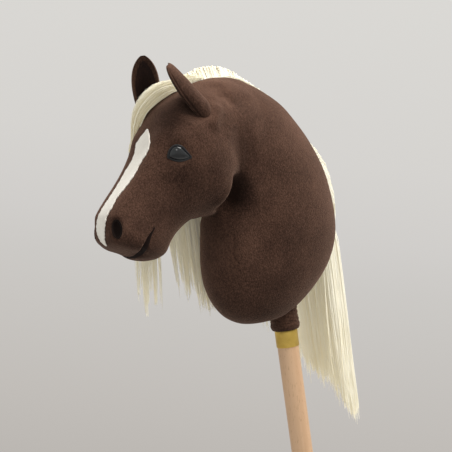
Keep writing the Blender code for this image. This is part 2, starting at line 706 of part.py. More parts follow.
def fallen(bodies, start, fall_x, end_z, thickness, sink, count):
    """Points of hair that falls to the right side, resting on what lies under it."""
    def lies(drop):
        """Where hair lies along x, and its height, once it has dropped so far."""
        share = min(1.0, drop / TRESS_SPREAD)
        return start[0] + (fall_x - start[0]) * share * share * (3 - 2 * share), start[2] - drop

    step = (start[2] - end_z) / (count - 1)
    rest = start[1]
    points = []
    for number in range(1, count):
        for drop in np.linspace(number - 1, number + REST_AHEAD, REST_LOOKS) * step:
            x, z = lies(drop)
            surface = max(body.side(x, z, 1) for body in bodies)
            if math.hypot(x - EYE_X, z - NECK_Z - EYE_HEIGHT_ON_HEAD) < EYE_ROOM:
                surface += EYE_ROOM_OUT
            rest = max(rest, surface + thickness / 2 - sink)
        x, z = lies(number * step)
        points.append(np.array([x, rest, z]))
    return points


def mane_pieces(crest, neck, head):
    """The tape, and tresses rooted on it that arch over and hang on the right side."""
    cut(add_object("mane_tape", tape_sheet(crest, 0.0), "tape"), neck.envelope)
    tape = hide_as_cutter(add_object("tape_room", tape_sheet(crest, GAP)))
    for number, (fall_x, drop, width) in enumerate(TRESSES, start=1):
        point, along, out = crest.at(TRESS_FIRST + TRESS_STEP * (number - 1))
        base = 2 * GAP + TAPE_THICKNESS
        arch = [point + out * (base + up * TRESS_HUMP) + np.array([0.0, over * TAPE_WIDTH, 0.0])
                for up, over in TRESS_ARCH]
        top = arch[-1]
        hang = fallen((neck, head), top, fall_x, NECK_Z - drop, TRESS_THICKNESS, TRESS_SINK, TRESS_STEPS)
        wide = [along] * len(arch)
        for place in hang:
            share = min(1.0, (top[2] - place[2]) / TRESS_SPREAD)
            wide.append(along * (1 - share) + np.array([1.0, 0.0, 0.0]) * share)
        lock = add_object(f"mane_tress_{number}", swept(arch + hang, wide, width, TRESS_THICKNESS), "hair")
        cut(lock, neck.envelope)
        cut(lock, head.envelope)
        cut(lock, tape)


def forelock_piece(neck, head):
    """The forelock: from the poll between the ears and down behind the right eye, past the chin."""
    places = np.array([p for p, _ in FORELOCK_ON_HEAD])
    offsets = np.array([y for _, y in FORELOCK_ON_HEAD])
    ground = on_ridge(places, offsets)
    ahead = on_ridge(places + LIE_STEP, offsets)
    beside = on_ridge(places, offsets + LIE_OFFSET)
    lifts = np.cross(ahead - ground, beside - ground)
    lifts /= np.linalg.norm(lifts, axis=1, keepdims=True)
    lifts *= np.sign(lifts[:, 2:3])
    across = (beside - ground) / np.linalg.norm(beside - ground, axis=1, keepdims=True)
    lift = FORELOCK_THICKNESS / 2 - FORELOCK_SINK
    path = [tuple(p) for p in ground + lifts * lift]
    hang = fallen((neck, head), np.array(path[-1]), FORELOCK_FALL_X, NECK_Z - FORELOCK_END,
                  FORELOCK_THICKNESS, FORELOCK_SINK, FORELOCK_STEPS)
    wide = [-a for a in across] + [np.array([-1.0, 0.0, 0.0])] * len(hang)
    lock = add_object("forelock", swept(path + hang, wide, FORELOCK_WIDTH, FORELOCK_THICKNESS), "hair")
    cut(lock, neck.envelope)
    cut(lock, head.envelope)


def build():
    """Make every piece of the hobby horse."""
    clear_scene()
    neck = Body("neck_envelope", neck_rings())
    head = Body("head_envelope", head_rings())
    stick_pieces()
    socket_pieces()
    neck_piece(neck)
    sleeve_pieces(neck)
    head_piece = add_object("head", loft(head.rings), "velour")
    cut(head_piece, neck.envelope)
    mouth_piece(head, head_piece)
    blaze_piece()
    for side, sign in (("left", -1), ("right", 1)):
        eye_pieces(head, head_piece, side, sign)
        nostril_pieces(head, head_piece, side, sign)
        ear_pieces(neck, head, side, sign)
    mane_pieces(Crest(neck), neck, head)
    forelock_piece(neck, head)


build()
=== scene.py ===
"""Hobby horse: a stuffed velour horse's head on a beech stick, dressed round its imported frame.

Metres, +Z up along the stick. The horse faces -X, its left side is -Y and its mane falls to +Y.
"""
import logging
import math
from dataclasses import dataclass, field
from enum import Enum

import bpy
import numpy as np
from mathutils import Matrix, Vector
from mathutils.bvhtree import BVHTree


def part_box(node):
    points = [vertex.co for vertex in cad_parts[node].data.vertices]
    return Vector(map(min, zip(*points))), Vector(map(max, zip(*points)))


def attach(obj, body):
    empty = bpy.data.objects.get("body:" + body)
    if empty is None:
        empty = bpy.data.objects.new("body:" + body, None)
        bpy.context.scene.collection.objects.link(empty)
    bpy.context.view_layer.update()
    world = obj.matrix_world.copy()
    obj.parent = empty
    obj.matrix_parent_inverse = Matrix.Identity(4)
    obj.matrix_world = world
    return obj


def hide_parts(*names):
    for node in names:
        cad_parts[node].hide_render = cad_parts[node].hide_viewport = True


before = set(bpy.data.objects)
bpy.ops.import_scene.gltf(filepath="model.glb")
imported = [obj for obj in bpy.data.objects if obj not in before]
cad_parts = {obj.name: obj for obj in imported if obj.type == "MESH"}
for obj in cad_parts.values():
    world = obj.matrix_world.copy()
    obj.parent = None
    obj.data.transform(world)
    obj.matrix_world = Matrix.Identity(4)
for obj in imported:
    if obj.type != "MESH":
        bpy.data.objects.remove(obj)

Array = np.ndarray
Point = tuple[float, float, float]
Colour = tuple[float, float, float]
Span = tuple[float, float]
log = logging.getLogger("hobby_horse")


class Side(Enum):
    """A side of the horse, by the sign of its Y."""

    LEFT = -1
    RIGHT = 1

    @property
    def word(self) -> str:
        """The side's name as it stands in the names of pieces."""
        return self.name.lower()


# Arrays and meshes.


def smoothstep(values: Array) -> Array:
    """Rise from 0 to 1 as 3t^2 - 2t^3, held at the ends.

    Args:
        values: numbers of which those below 0 and over 1 are held there.
    Returns:
        The eased numbers.
    """
    t = np.clip(values, 0.0, 1.0)
    return t * t * (3.0 - 2.0 * t)


def unit(vectors: Array) -> Array:
    """Vectors divided by their own length, along the last axis."""
    return vectors / np.maximum(np.linalg.norm(vectors, axis=-1, keepdims=True), 1e-12)


def curve_through(rows: Array, steps: int) -> Array:
    """Catmull-Rom curve through rows of numbers, with some steps to each gap.

    Between two rows b and c, with a before and d after, the value at t is half of
    2b + (c - a)t + (2a - 5b + 4c - d)t^2 + (3b - a - 3c + d)t^3.

    Args:
        rows: the rows to pass through, as an array of shape (n, k).
        steps: how many rows stand for each gap.
    Returns:
        An array of ((n - 1) * steps + 1, k).
    """
    given = np.asarray(rows, float)
    ends = np.vstack([2 * given[0] - given[1], given, 2 * given[-1] - given[-2]])
    a, b, c, d = (ends[k : len(given) - 1 + k, None, :] for k in range(4))
    t = np.linspace(0, 1, steps, endpoint=False)[None, :, None]
    made = 0.5 * (2 * b + (c - a) * t + (2 * a - 5 * b + 4 * c - d) * t**2 + (3 * b - a - 3 * c + d) * t**3)
    return np.vstack([made.reshape(-1, given.shape[1]), given[-1:]])


def evenly(paths: Array, count: int) -> Array:
    """Many paths laid out again with points evenly spaced along each.

    Each path's run is scaled to 1 and set 2 apart from the next one's, so that one
    straight-line interpolation serves them all.

    Args:
        paths: points of shape (paths, points, 3).
        count: how many points each path gets.
    Returns:
        Points of shape (paths, count, 3).
    """
    steps = np.linalg.norm(np.diff(paths, axis=1), axis=2)
    run = np.concatenate([np.zeros((len(paths), 1)), np.cumsum(steps + 1e-9, axis=1)], axis=1)
    run /= run[:, -1:]
    shift = 2.0 * np.arange(len(paths))[:, None]
    asked = (shift + np.linspace(0, 1, count)[None, :]).ravel()
    known = (shift + run).ravel()
    laid = [np.interp(asked, known, paths[..., k].ravel()) for k in range(3)]
    return np.stack(laid, axis=-1).reshape(len(paths), count, 3)


def grid_quads(rows: int, columns: int, wrap_rows: bool = False, wrap_columns: bool = False) -> Array:
    """Quads that join each point of a grid to the next in its row and its column.

    Args:
        rows: points along the first axis.
        columns: points along the second.
        wrap_rows: whether the last row joins the first.
        wrap_columns: whether the last column joins the first.
    Returns:
        Vertex numbers of shape (quads, 4).
    """
    i = np.arange(rows if wrap_rows else rows - 1)
    j = np.arange(columns if wrap_columns else columns - 1)
    a, b = np.meshgrid(i, j, indexing="ij")
    c, d = (a + 1) % rows, (b + 1) % columns
    corners = [a * columns + b, a * columns + d, c * columns + d, c * columns + b]
    return np.stack(corners, axis=-1).reshape(-1, 4)


def make_mesh(name: str, points: Array, quads: Array, triangles: Array | None = None) -> bpy.types.Object:
    """A smooth-shaded object from arrays, turned right side out by the sign of its volume.

    Args:
        name: the object's name.
        points: vertices of shape (n, 3), in the shared frame.
        quads: faces of four vertices each.
        triangles: faces of three vertices each.
    Returns:
        The object, linked to the scene.
    """
    triangles = np.zeros((0, 3), int) if triangles is None else triangles
    corners = np.concatenate([quads[:, [0, 1, 2]], quads[:, [0, 2, 3]], triangles])
    a, b, c = (points[corners[:, k]] for k in range(3))
    if np.einsum("ij,ij->i", a, np.cross(b, c)).sum() < 0:
        quads, triangles = quads[:, ::-1], triangles[:, ::-1]
    mesh = bpy.data.meshes.new(name)
    mesh.vertices.add(len(points))
    mesh.vertices.foreach_set("co", np.ascontiguousarray(points, np.float32).ravel())
    loops = np.concatenate([quads.ravel(), triangles.ravel()]).astype(np.int32)
    sizes = np.concatenate([np.full(len(quads), 4), np.full(len(triangles), 3)])
    starts = np.concatenate([[0], np.cumsum(sizes)[:-1]]).astype(np.int32)
    mesh.loops.add(len(loops))
    mesh.loops.foreach_set("vertex_index", loops)
    mesh.polygons.add(len(sizes))
    mesh.polygons.foreach_set("loop_start", starts)
    mesh.update(calc_edges=True)
    mesh.validate()
    mesh.shade_smooth()
    made = bpy.data.objects.new(name, mesh)
    bpy.context.scene.collection.objects.link(made)
    return made


def closed_loft(name: str, rings: Array) -> bpy.types.Object:
    """A closed solid through rings of points, with one middle point at each end.

    Args:
        name: the object's name.
        rings: points of shape (rings, sides, 3).
    Returns:
        The object.
    """
    rows, sides = rings.shape[:2]
    points = np.vstack([rings.reshape(-1, 3), rings[0].mean(axis=0), rings[-1].mean(axis=0)])
    j = np.arange(sides)
    after = (j + 1) % sides
    last = (rows - 1) * sides
    first_cap = np.stack([np.full(sides, rows * sides), after, j], axis=-1)
    last_cap = np.stack([np.full(sides, rows * sides + 1), last + j, last + after], axis=-1)
    caps = np.vstack([first_cap, last_cap])
    return make_mesh(name, points, grid_quads(rows, sides, wrap_columns=True), caps)


def closed_hoop(name: str, loops: Array) -> bpy.types.Object:
    """A closed ring: a closed profile carried round a closed path.

    Args:
        name: the object's name.
        loops: points of shape (profile points, points round the path, 3).
    Returns:
        The object.
    """
    rows, columns = loops.shape[:2]
    return make_mesh(name, loops.reshape(-1, 3), grid_quads(rows, columns, True, True))


def thick_sheet(name: str, outer: Array, inner: Array) -> bpy.types.Object:
    """A closed sheet between two grids of the same shape, joined round their borders.

    Args:
        name: the object's name.
        outer: points of shape (rows, columns, 3) on one side.
        inner: the points across the sheet from them.
    Returns:
        The object.
    """
    rows, columns = outer.shape[:2]
    faces = grid_quads(rows, columns)
    number = np.arange(rows * columns).reshape(rows, columns)
    border = np.concatenate([number[:, 0], number[-1, 1:], number[-2::-1, -1], number[0, -2:0:-1]])
    after = np.roll(border, -1)
    rim = np.stack([border, after, after + rows * columns, border + rows * columns], axis=-1)
    quads = np.vstack([faces, faces[:, ::-1] + rows * columns, rim[:, ::-1]])
    return make_mesh(name, np.vstack([outer.reshape(-1, 3), inner.reshape(-1, 3)]), quads)


def turned(profile: list[tuple[float, float]], sides: int) -> Array:
    """Rings about the stick's axis from a profile.

    Args:
        profile: (radius, height) pairs.
        sides: points to a ring.
    Returns:
        Points of shape (pairs, sides, 3).
    """
    radius, height = np.array(profile, float).T
    angle = np.linspace(0, 2 * np.pi, sides, endpoint=False)
    ring = np.stack([np.cos(angle), np.sin(angle)], axis=-1)
    level = np.repeat(height[:, None, None], sides, axis=1)
    return np.concatenate([radius[:, None, None] * ring[None], level], axis=-1)


def read_points(piece: bpy.types.Object) -> Array:
    """A mesh's vertices as an array of shape (n, 3)."""
    flat = np.empty(len(piece.data.vertices) * 3, np.float32)
    piece.data.vertices.foreach_get("co", flat)
    return flat.reshape(-1, 3).astype(float)


def read_normals(piece: bpy.types.Object) -> Array:
    """A mesh's vertex normals as an array of shape (n, 3)."""
    flat = np.empty(len(piece.data.vertices) * 3, np.float32)
    piece.data.vertex_normals.foreach_get("vector", flat)
    return flat.reshape(-1, 3).astype(float)


def write_points(piece: bpy.types.Object, points: Array) -> None:
    """Put an array of places back into a mesh."""
    piece.data.vertices.foreach_set("co", np.ascontiguousarray(points, np.float32).ravel())
    piece.data.update()


def apply_modifiers(piece: bpy.types.Object) -> bpy.types.Object:
    """Bake an object's modifiers into its mesh."""
    graph = bpy.context.evaluated_depsgraph_get()
    graph.update()
    made = bpy.data.meshes.new_from_object(piece.evaluated_get(graph), depsgraph=graph)
    piece.modifiers.clear()
    piece.data = made
    made.shade_smooth()
    return piece


def refine(piece: bpy.types.Object) -> None:
    """Subdivide a mesh once."""
    finer = piece.modifiers.new("finer", "SUBSURF")
    finer.levels = finer.render_levels = 1
    apply_modifiers(piece)


def remove(piece: bpy.types.Object) -> None:
    """Take a helper object out of the scene."""
    bpy.data.objects.remove(piece, do_unlink=True)


def tree_of(piece: bpy.types.Object) -> BVHTree:
    """A search tree of a mesh's faces, for seating other pieces on it."""
    return BVHTree.FromObject(piece, bpy.context.evaluated_depsgraph_get())


# Finishes.


class Nodes:
    """A node tree in the making, whose sockets take either a link or a plain value."""

    def __init__(self, tree: bpy.types.NodeTree) -> None:
        """Work on a tree.

        Args:
            tree: the tree that gets the nodes.
        """
        self.tree = tree

    def node(self, kind: str, **settings: object) -> bpy.types.Node:
        """Add a node and set its plain properties."""
        made = self.tree.nodes.new(kind)
        for name, value in settings.items():
            setattr(made, name, value)
        return made

    def feed(self, socket: bpy.types.NodeSocket, value: object) -> None:
        """Link a socket to another, or write a value into it."""
        if isinstance(value, bpy.types.NodeSocket):
            self.tree.links.new(value, socket)
        else:
            socket.default_value = value

    def maths(self, operation: str, first: object, second: object = 0.0,
              third: object = 0.0) -> bpy.types.NodeSocket:
        """The result of a Math node."""
        made = self.node("ShaderNodeMath", operation=operation)
        for socket, value in zip(made.inputs, (first, second, third)):
            self.feed(socket, value)
        return made.outputs["Value"]

    def measure(self, operation: str, first: object, second: Point = (0, 0, 0)) -> bpy.types.NodeSocket:
        """The number that a Vector Math node makes of two vectors."""
        made = self.node("ShaderNodeVectorMath", operation=operation)
        self.feed(made.inputs[0], first)
        self.feed(made.inputs[1], second)
        return made.outputs["Value"]

    def ranged(self, value: bpy.types.NodeSocket, given: Span, wanted: Span,
               interpolation: str = "LINEAR") -> bpy.types.NodeSocket:
        """A value carried from one range over to another, and held at its ends.

        Args:
            value: what is carried over.
            given: the ends of the value's own range.
            wanted: what those ends become.
            interpolation: how it goes between them.
        Returns:
            The result's socket.
        """
        made = self.node("ShaderNodeMapRange", interpolation_type=interpolation)
        self.feed(made.inputs["Value"], value)
        for name, end in zip(("From Min", "From Max", "To Min", "To Max"), given + wanted):
            made.inputs[name].default_value = end
        return made.outputs["Result"]

    def ramp(self, factor: bpy.types.NodeSocket, stops: list[tuple[float, Colour]]) -> bpy.types.NodeSocket:
        """Colours laid along a factor.

        Args:
            factor: what is looked up.
            stops: (place, colour) pairs in order.
        Returns:
            The ramp's colour socket.
        """
        made = self.node("ShaderNodeValToRGB")
        band = made.color_ramp
        while len(band.elements) < len(stops):
            band.elements.new(0.5)
        for element, (place, colour) in zip(band.elements, stops):
            element.position = place
            element.color = (*colour, 1.0)
        self.feed(made.inputs["Fac"], factor)
        return made.outputs["Color"]


class Shader(Nodes):
    """A material with a Principled shader, read in Object coordinates."""

    def __init__(self, name: str) -> None:
        """Start the material.

        Args:
            name: the material's name.
        """
        self.material = bpy.data.materials.new(name)
        self.material.use_nodes = True
        super().__init__(self.material.node_tree)
        self.principled = self.tree.nodes["Principled BSDF"]
        self.place = self.node("ShaderNodeTexCoord").outputs["Object"]

    def set(self, **values: object) -> None:
        """Write or link the Principled shader's sockets, named with underscores for spaces."""
        for name, value in values.items():
            self.feed(self.principled.inputs[name.replace("_", " ")], value)

    def noise(self, scale: float, detail: float = 2.0, roughness: float = 0.5, stretch: Point = (1, 1, 1),
              turn: Point = (0, 0, 0), distortion: float = 0.0) -> bpy.types.NodeSocket:
        """Noise about 0.5 at a scale of so many per metre.

        Args:
            scale: spots to a metre.
            detail: octaves.
            roughness: how much the finer octaves weigh.
            stretch: factors on the coordinates, so that a small one draws the spots out.
            turn: rotation of the coordinates in radians.
            distortion: how far the noise bends itself.
        Returns:
            The noise's factor socket.
        """
        mapping = self.node("ShaderNodeMapping")
        for name, value in (("Vector", self.place), ("Scale", stretch), ("Rotation", turn)):
            self.feed(mapping.inputs[name], value)
        made = self.node("ShaderNodeTexNoise")
        for name, value in (("Vector", mapping.outputs["Vector"]), ("Scale", scale), ("Detail", detail),
                            ("Roughness", roughness), ("Distortion", distortion)):
            self.feed(made.inputs[name], value)
        return made.outputs["Fac"]

    def mix(self, first: object, second: object, factor: object) -> bpy.types.NodeSocket:
        """Two colours mixed by a factor."""
        made = self.node("ShaderNodeMix", data_type="RGBA")
        for socket, value in zip((made.inputs[0], made.inputs[6], made.inputs[7]), (factor, first, second)):
            self.feed(socket, (*value, 1.0) if isinstance(value, tuple) else value)
        return made.outputs[2]

    def attribute(self, name: str) -> bpy.types.NodeSocket:
        """The value of one of the mesh's own attributes."""
        return self.node("ShaderNodeAttribute", attribute_name=name).outputs["Fac"]

    def bump(self, height: object, strength: float, distance: float) -> None:
        """Roughen the shading normal by a height."""
        made = self.node("ShaderNodeBump")
        for name, value in (("Height", height), ("Strength", strength), ("Distance", distance)):
            self.feed(made.inputs[name], value)
        self.set(Normal=made.outputs["Normal"])


@dataclass(frozen=True)
class Velour:
    """Short-napped stretch velour: mottled where the nap lies over, paler at a glancing look, with painted
    top light and spots of painted shade.
    """

    name: str
    deep: Colour
    pale: Colour
    sheen: float
    sheen_tint: Colour
    # Painted top light: how much paler the colour is where the surface faces up.
    painted_top_light: float = 0.12
    # Spots of painted shade, darker colour where shadow falls: x, y, z, reach and how much darker.
    painted_shade_spots: tuple[tuple[float, float, float, float, float], ...] = ()

    def material(self) -> bpy.types.Material:
        """Make the velour."""
        shader = Shader(self.name)
        patches = shader.noise(30.0, 3.0, 0.55, turn=(0.4, 0.2, 0.7))
        facing = shader.node("ShaderNodeSeparateXYZ")
        shader.feed(facing.inputs[0], shader.node("ShaderNodeNewGeometry").outputs["Normal"])
        strokes = shader.noise(680.0, 3.0, 0.7, stretch=(1.0, 1.0, 0.65), turn=(0.0, 0.35, 0.5),
                               distortion=0.4)
        grain = shader.noise(1300.0, 2.0, 0.6)
        nap_and_painted_light = shader.maths("MULTIPLY_ADD", strokes, 0.5, shader.maths("MULTIPLY", grain, 0.3))
        nap_and_painted_light = shader.maths("MULTIPLY_ADD", patches, 0.2, nap_and_painted_light)
        # Painted top light: the colour is paler where the surface faces up.
        nap_and_painted_light = shader.maths("MULTIPLY_ADD", facing.outputs["Z"], self.painted_top_light, nap_and_painted_light)
        # Painted shade: the colour is darker round each listed spot.
        for x, y, z, reach, darker in self.painted_shade_spots:
            away = shader.measure("DISTANCE", shader.place, (x, y, z))
            nap_and_painted_light = shader.maths("ADD", nap_and_painted_light, shader.ranged(away, (0.0, reach), (-darker, 0.0), "SMOOTHSTEP"))
        middle = tuple(0.7 * a + 0.3 * b for a, b in zip(self.deep, self.pale))
        colour = shader.ramp(nap_and_painted_light, [(0.37, self.deep), (0.5, middle), (0.71, self.pale)])
        shader.set(Base_Color=colour, Roughness=0.92, Specular_IOR_Level=0.12)
        shader.set(Sheen_Weight=self.sheen, Sheen_Roughness=0.42, Sheen_Tint=(*self.sheen_tint, 1.0))
        height = shader.maths("MULTIPLY_ADD", strokes, 0.6, shader.maths("MULTIPLY", grain, 0.4))
        shader.bump(height, 0.75, 0.0013)
        return shader.material


@dataclass(frozen=True)
class Felt:
    """Pressed wool felt: flat, with short crossing fibres."""

    name: str
    colour: Colour
    shade: Colour
    sheen: float = 0.25

    def material(self) -> bpy.types.Material:
        """Make the felt."""
        shader = Shader(self.name)
        fibres = shader.noise(900.0, 3.0, 0.7, stretch=(1.0, 0.5, 0.7), distortion=1.2)
        clouds = shader.noise(60.0, 2.0)
        mixed = shader.maths("MULTIPLY_ADD", fibres, 0.6, shader.maths("MULTIPLY", clouds, 0.4))
        colour = shader.ramp(mixed, [(0.35, self.shade), (0.62, self.colour)])
        shader.set(Base_Color=colour, Roughness=0.9, Specular_IOR_Level=0.2)
        shader.set(Sheen_Weight=self.sheen, Sheen_Roughness=0.5)
        shader.bump(fibres, 0.35, 0.0006)
        return shader.material


@dataclass(frozen=True)
class Hair:
    """Straight glossy fibre whose strands differ a little in shade, with a faint painted glow."""

    name: str
    pale: Colour
    shade: Colour
    sheen_tint: Colour = (1.0, 0.95, 0.8)
    # Painted glow: a faint emission that stands in for the light that fair strands pass from one to the next,
    # which a render's few bounces leave out.
    painted_glow: Colour = (1.0, 0.92, 0.74)
    painted_glow_strength: float = 0.065

    def material(self) -> bpy.types.Material:
        """Make the fibre, read from each strand's own number and its run from root to tip."""
        shader = Shader(self.name)
        strand = shader.attribute("strand")
        run = shader.attribute("run")
        tone = shader.maths("MULTIPLY_ADD", run, -0.12, strand)
        middle = tuple((a + b) / 2 for a, b in zip(self.shade, self.pale))
        colour = shader.ramp(tone, [(0.02, self.shade), (0.35, middle), (0.85, self.pale)])
        shader.set(Base_Color=colour, Roughness=0.45, Specular_IOR_Level=0.35)
        shader.set(Sheen_Weight=0.8, Sheen_Roughness=0.5, Sheen_Tint=(*self.sheen_tint, 1.0))
        # Painted glow: a faint emission in the hair's colour.
        shader.set(Emission_Color=(*self.painted_glow, 1.0), Emission_Strength=self.painted_glow_strength)
        return shader.material


@dataclass(frozen=True)
class Beech:
    """Sanded beech: fine straight grain along the stick, with short dark flecks."""

    name: str
    pale: Colour
    warm: Colour
    fleck: Colour

    def material(self) -> bpy.types.Material:
        """Make the wood."""
        shader = Shader(self.name)
        grain = shader.noise(150.0, 4.0, 0.6, stretch=(1.0, 1.0, 0.035), distortion=0.5)
        bands = shader.noise(38.0, 2.0, 0.5, stretch=(1.0, 1.0, 0.12))
        tone = shader.maths("MULTIPLY_ADD", grain, 0.55, shader.maths("MULTIPLY", bands, 0.45))
        wood = shader.ramp(tone, [(0.34, self.warm), (0.64, self.pale)])
        rays = shader.noise(900.0, 1.0, 0.4, stretch=(1.0, 1.0, 0.16))
        spot = shader.maths("GREATER_THAN", rays, 0.66)
        shader.set(Base_Color=shader.mix(wood, self.fleck, shader.maths("MULTIPLY", spot, 0.45)))
        shader.set(Roughness=0.46, Specular_IOR_Level=0.42)
        shader.bump(grain, 0.12, 0.0006)
        return shader.material


@dataclass(frozen=True)
class Brass:
    """Satin brass tube with fine marks round it."""

    name: str
    colour: Colour
    dull: Colour

    def material(self) -> bpy.types.Material:
        """Make the brass."""
        shader = Shader(self.name)
        marks = shader.noise(1500.0, 2.0, 0.6, stretch=(0.05, 0.05, 1.0))
        clouds = shader.noise(70.0, 3.0, 0.6)
        shader.set(Base_Color=shader.ramp(clouds, [(0.35, self.dull), (0.6, self.colour)]), Metallic=1.0)
        shader.set(Roughness=shader.ranged(marks, (0.0, 1.0), (0.3, 0.5)))
        shader.bump(marks, 0.1, 0.0002)
        return shader.material


@dataclass(frozen=True)
class Resin:
    """Polished resin of the eyes: dark, clouded a little, under a clear coat."""

    name: str
    deep: Colour
    pale: Colour

    def material(self) -> bpy.types.Material:
        """Make the resin."""
        shader = Shader(self.name)
        clouds = shader.noise(110.0, 2.0)
        shader.set(Base_Color=shader.ramp(clouds, [(0.3, self.deep), (0.7, self.pale)]), Roughness=0.2)
        shader.set(Coat_Weight=0.75, Coat_Roughness=0.04, Specular_IOR_Level=0.15)
        return shader.material


@dataclass(frozen=True)
class Smooth:
    """Moulded plastic or smooth leather: one hue, with a fine uneven surface."""

    name: str
    colour: Colour
    roughness: float
    pebble: float

    def material(self) -> bpy.types.Material:
        """Make the finish."""
        shader = Shader(self.name)
        clouds = shader.noise(120.0, 3.0)
        lighter = tuple(min(1.0, c * 1.25 + 0.004) for c in self.colour)
        shader.set(Base_Color=shader.ramp(clouds, [(0.3, self.colour), (0.7, lighter)]))
        shader.set(Roughness=self.roughness, Specular_IOR_Level=0.4)
        shader.bump(shader.noise(self.pebble, 2.0), 0.2, 0.0002)
        return shader.material


@dataclass(frozen=True)
class Tape:
    """Plain-woven cotton tape."""

    name: str
    colour: Colour
    shade: Colour

    def material(self) -> bpy.types.Material:
        """Make the weave from two crossed waves."""
        shader = Shader(self.name)
        warp = shader.node("ShaderNodeTexWave", bands_direction="X")
        weft = shader.node("ShaderNodeTexWave", bands_direction="Y")
        for wave in (warp, weft):
            shader.feed(wave.inputs["Vector"], shader.place)
            wave.inputs["Scale"].default_value = 190.0
        height = shader.maths("MAXIMUM", warp.outputs["Fac"], weft.outputs["Fac"])
        shader.set(Base_Color=shader.ramp(height, [(0.2, self.shade), (0.9, self.colour)]), Roughness=0.85)
        shader.bump(height, 0.4, 0.0004)
        return shader.material


@dataclass(frozen=True)
class Paper:
    """Seamless pale paper on the floor, which goes over into the backdrop at a distance."""

    name: str
    colour: Colour
    fade: Span = (0.75, 1.3)

    def material(self) -> bpy.types.Material:
        """Make the paper."""
        shader = Shader(self.name)
        clouds = shader.noise(0.8, 2.0)
        darker = tuple(c * 0.985 for c in self.colour)
        shader.set(Base_Color=shader.ramp(clouds, [(0.3, darker), (0.7, self.colour)]))
        away = shader.measure("LENGTH", shader.place)
        shown = shader.ranged(away, self.fade, (1.0, 0.0), "SMOOTHSTEP")
        shader.set(Roughness=0.95, Specular_IOR_Level=0.1, Alpha=shown)
        return shader.material


class Finishes:
    """Every finish on the horse, made once."""

    def __init__(self) -> None:
        """Make the materials."""
        self.velour = Velour(
            "brown_velour", (0.015, 0.0067, 0.0041), (0.13, 0.0665, 0.0435), 0.38, (0.66, 0.41, 0.3),
            # Spots of painted shade: round the near ear, on the brow, and below the jowl.
            painted_shade_spots=((-0.147, -0.02, 0.785, 0.04, 0.15), (-0.1248, -0.0329, 0.7903, 0.03, 0.09),
                     (-0.061, -0.0401, 0.7908, 0.014, 0.05), (-0.0729, -0.0207, 0.686, 0.04, 0.2)),
        ).material()
        self.lining = Velour("dark_velour", (0.01, 0.0055, 0.0045), (0.036, 0.017, 0.012), 0.2,
                             (0.5, 0.38, 0.33)).material()
        self.dark_felt = Felt("dark_felt", (0.016, 0.008, 0.0055), (0.008, 0.0042, 0.003), 0.02).material()
        self.cream_felt = Felt("cream_felt", (0.86, 0.81, 0.71), (0.76, 0.7, 0.605)).material()
        self.hair = Hair("cream_hair", (0.93, 0.89, 0.745), (0.9, 0.825, 0.61)).material()
        self.beech = Beech("beech", (0.65, 0.425, 0.255), (0.57, 0.35, 0.197), (0.42, 0.24, 0.125)).material()
        self.brass = Brass("satin_brass", (0.66, 0.46, 0.115), (0.54, 0.36, 0.08)).material()
        self.resin = Resin("eye_resin", (0.004, 0.005, 0.006), (0.01, 0.0125, 0.014)).material()
        self.rim = Smooth("rim_leather", (0.008, 0.008, 0.009), 0.38, 1500.0).material()
        self.nylon = Smooth("washer_nylon", (0.52, 0.52, 0.49), 0.5, 400.0).material()
        self.socket = Smooth("socket_plastic", (0.012, 0.012, 0.013), 0.45, 700.0).material()
        self.tape = Tape("woven_tape", (0.7, 0.64, 0.48), (0.45, 0.4, 0.28)).material()
        self.paper = Paper("backdrop_paper", (0.62, 0.6, 0.57)).material()


def dress(piece: bpy.types.Object, material: bpy.types.Material) -> None:
    """Give a piece one material in place of what it has."""
    piece.data.materials.clear()
    piece.data.materials.append(material)


def settle(piece: bpy.types.Object, material: bpy.types.Material, body: str, slot: str, *nodes: str) -> None:
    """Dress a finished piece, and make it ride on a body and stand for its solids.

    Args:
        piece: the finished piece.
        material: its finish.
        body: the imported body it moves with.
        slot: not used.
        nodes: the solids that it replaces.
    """
    dress(piece, material)
    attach(piece, body)
    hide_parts(*nodes)
    log.info("%s: %d faces", piece.name, len(piece.data.polygons))


# The stuffed skin.


@dataclass(frozen=True)
class Dab:
    """A soft push on the skin: along the normal by the amount, fading as (1 - q^2)^2 out to the radii."""

    centre: Point
    radii: Point
    amount: float
    mirrored: bool = True


@dataclass(frozen=True)
class Crease:
    """A line pressed into the skin: depth times exp(-(distance / width)^2), fading to its ends."""

    line: tuple[Point, ...]
    depth: float
    width: float
    mirrored: bool = True
    fade: float = 0.15


def line_distance(points: Array, line: Array) -> tuple[Array, Array, Array]:
    """Distance of points from a polyline, how far along it the nearest place lies, and that place.

    Each point is dropped on every stretch, held to the stretch's ends, and the least
    distance wins.

    Args:
        points: places of shape (n, 3).
        line: the polyline's corners of shape (m, 3).
    Returns:
        The distances, the shares of the run from 0 to 1, and the nearest places.
    """
    start, step = line[:-1], np.diff(line, axis=0)
    length = np.linalg.norm(step, axis=1)
    before = np.concatenate([[0.0], np.cumsum(length)])
    along = np.einsum("nmk,mk->nm", points[:, None] - start[None], step) / length**2
    along = np.clip(along, 0.0, 1.0)
    foot = start[None] + along[..., None] * step[None]
    distance = np.linalg.norm(points[:, None] - foot, axis=2)
    best = distance.argmin(axis=1)
    row = np.arange(len(points))
    run = (before[best] + along[row, best] * length[best]) / before[-1]
    return distance[row, best], run, foot[row, best]


@dataclass(frozen=True)
class Pit:
    """A pocket with a crisp rim, sewn into the skin at a seat: depth times sqrt(1 - q^2) inside an ellipse.

    Points that lie close to the ellipse are first brought onto it, so that the rim is even, and
    the skin rolls in towards it by a rounding that fades over half the ellipse's size.
    """

    x: float
    height: float
    forward: float
    upward: float
    half_wide: float
    half_tall: float
    depth: float
    rounding: float = 0.0024
    snap: float = 0.0007
    # How far off the seat's plane the skin still belongs to the pocket.
    reach: float = 0.012


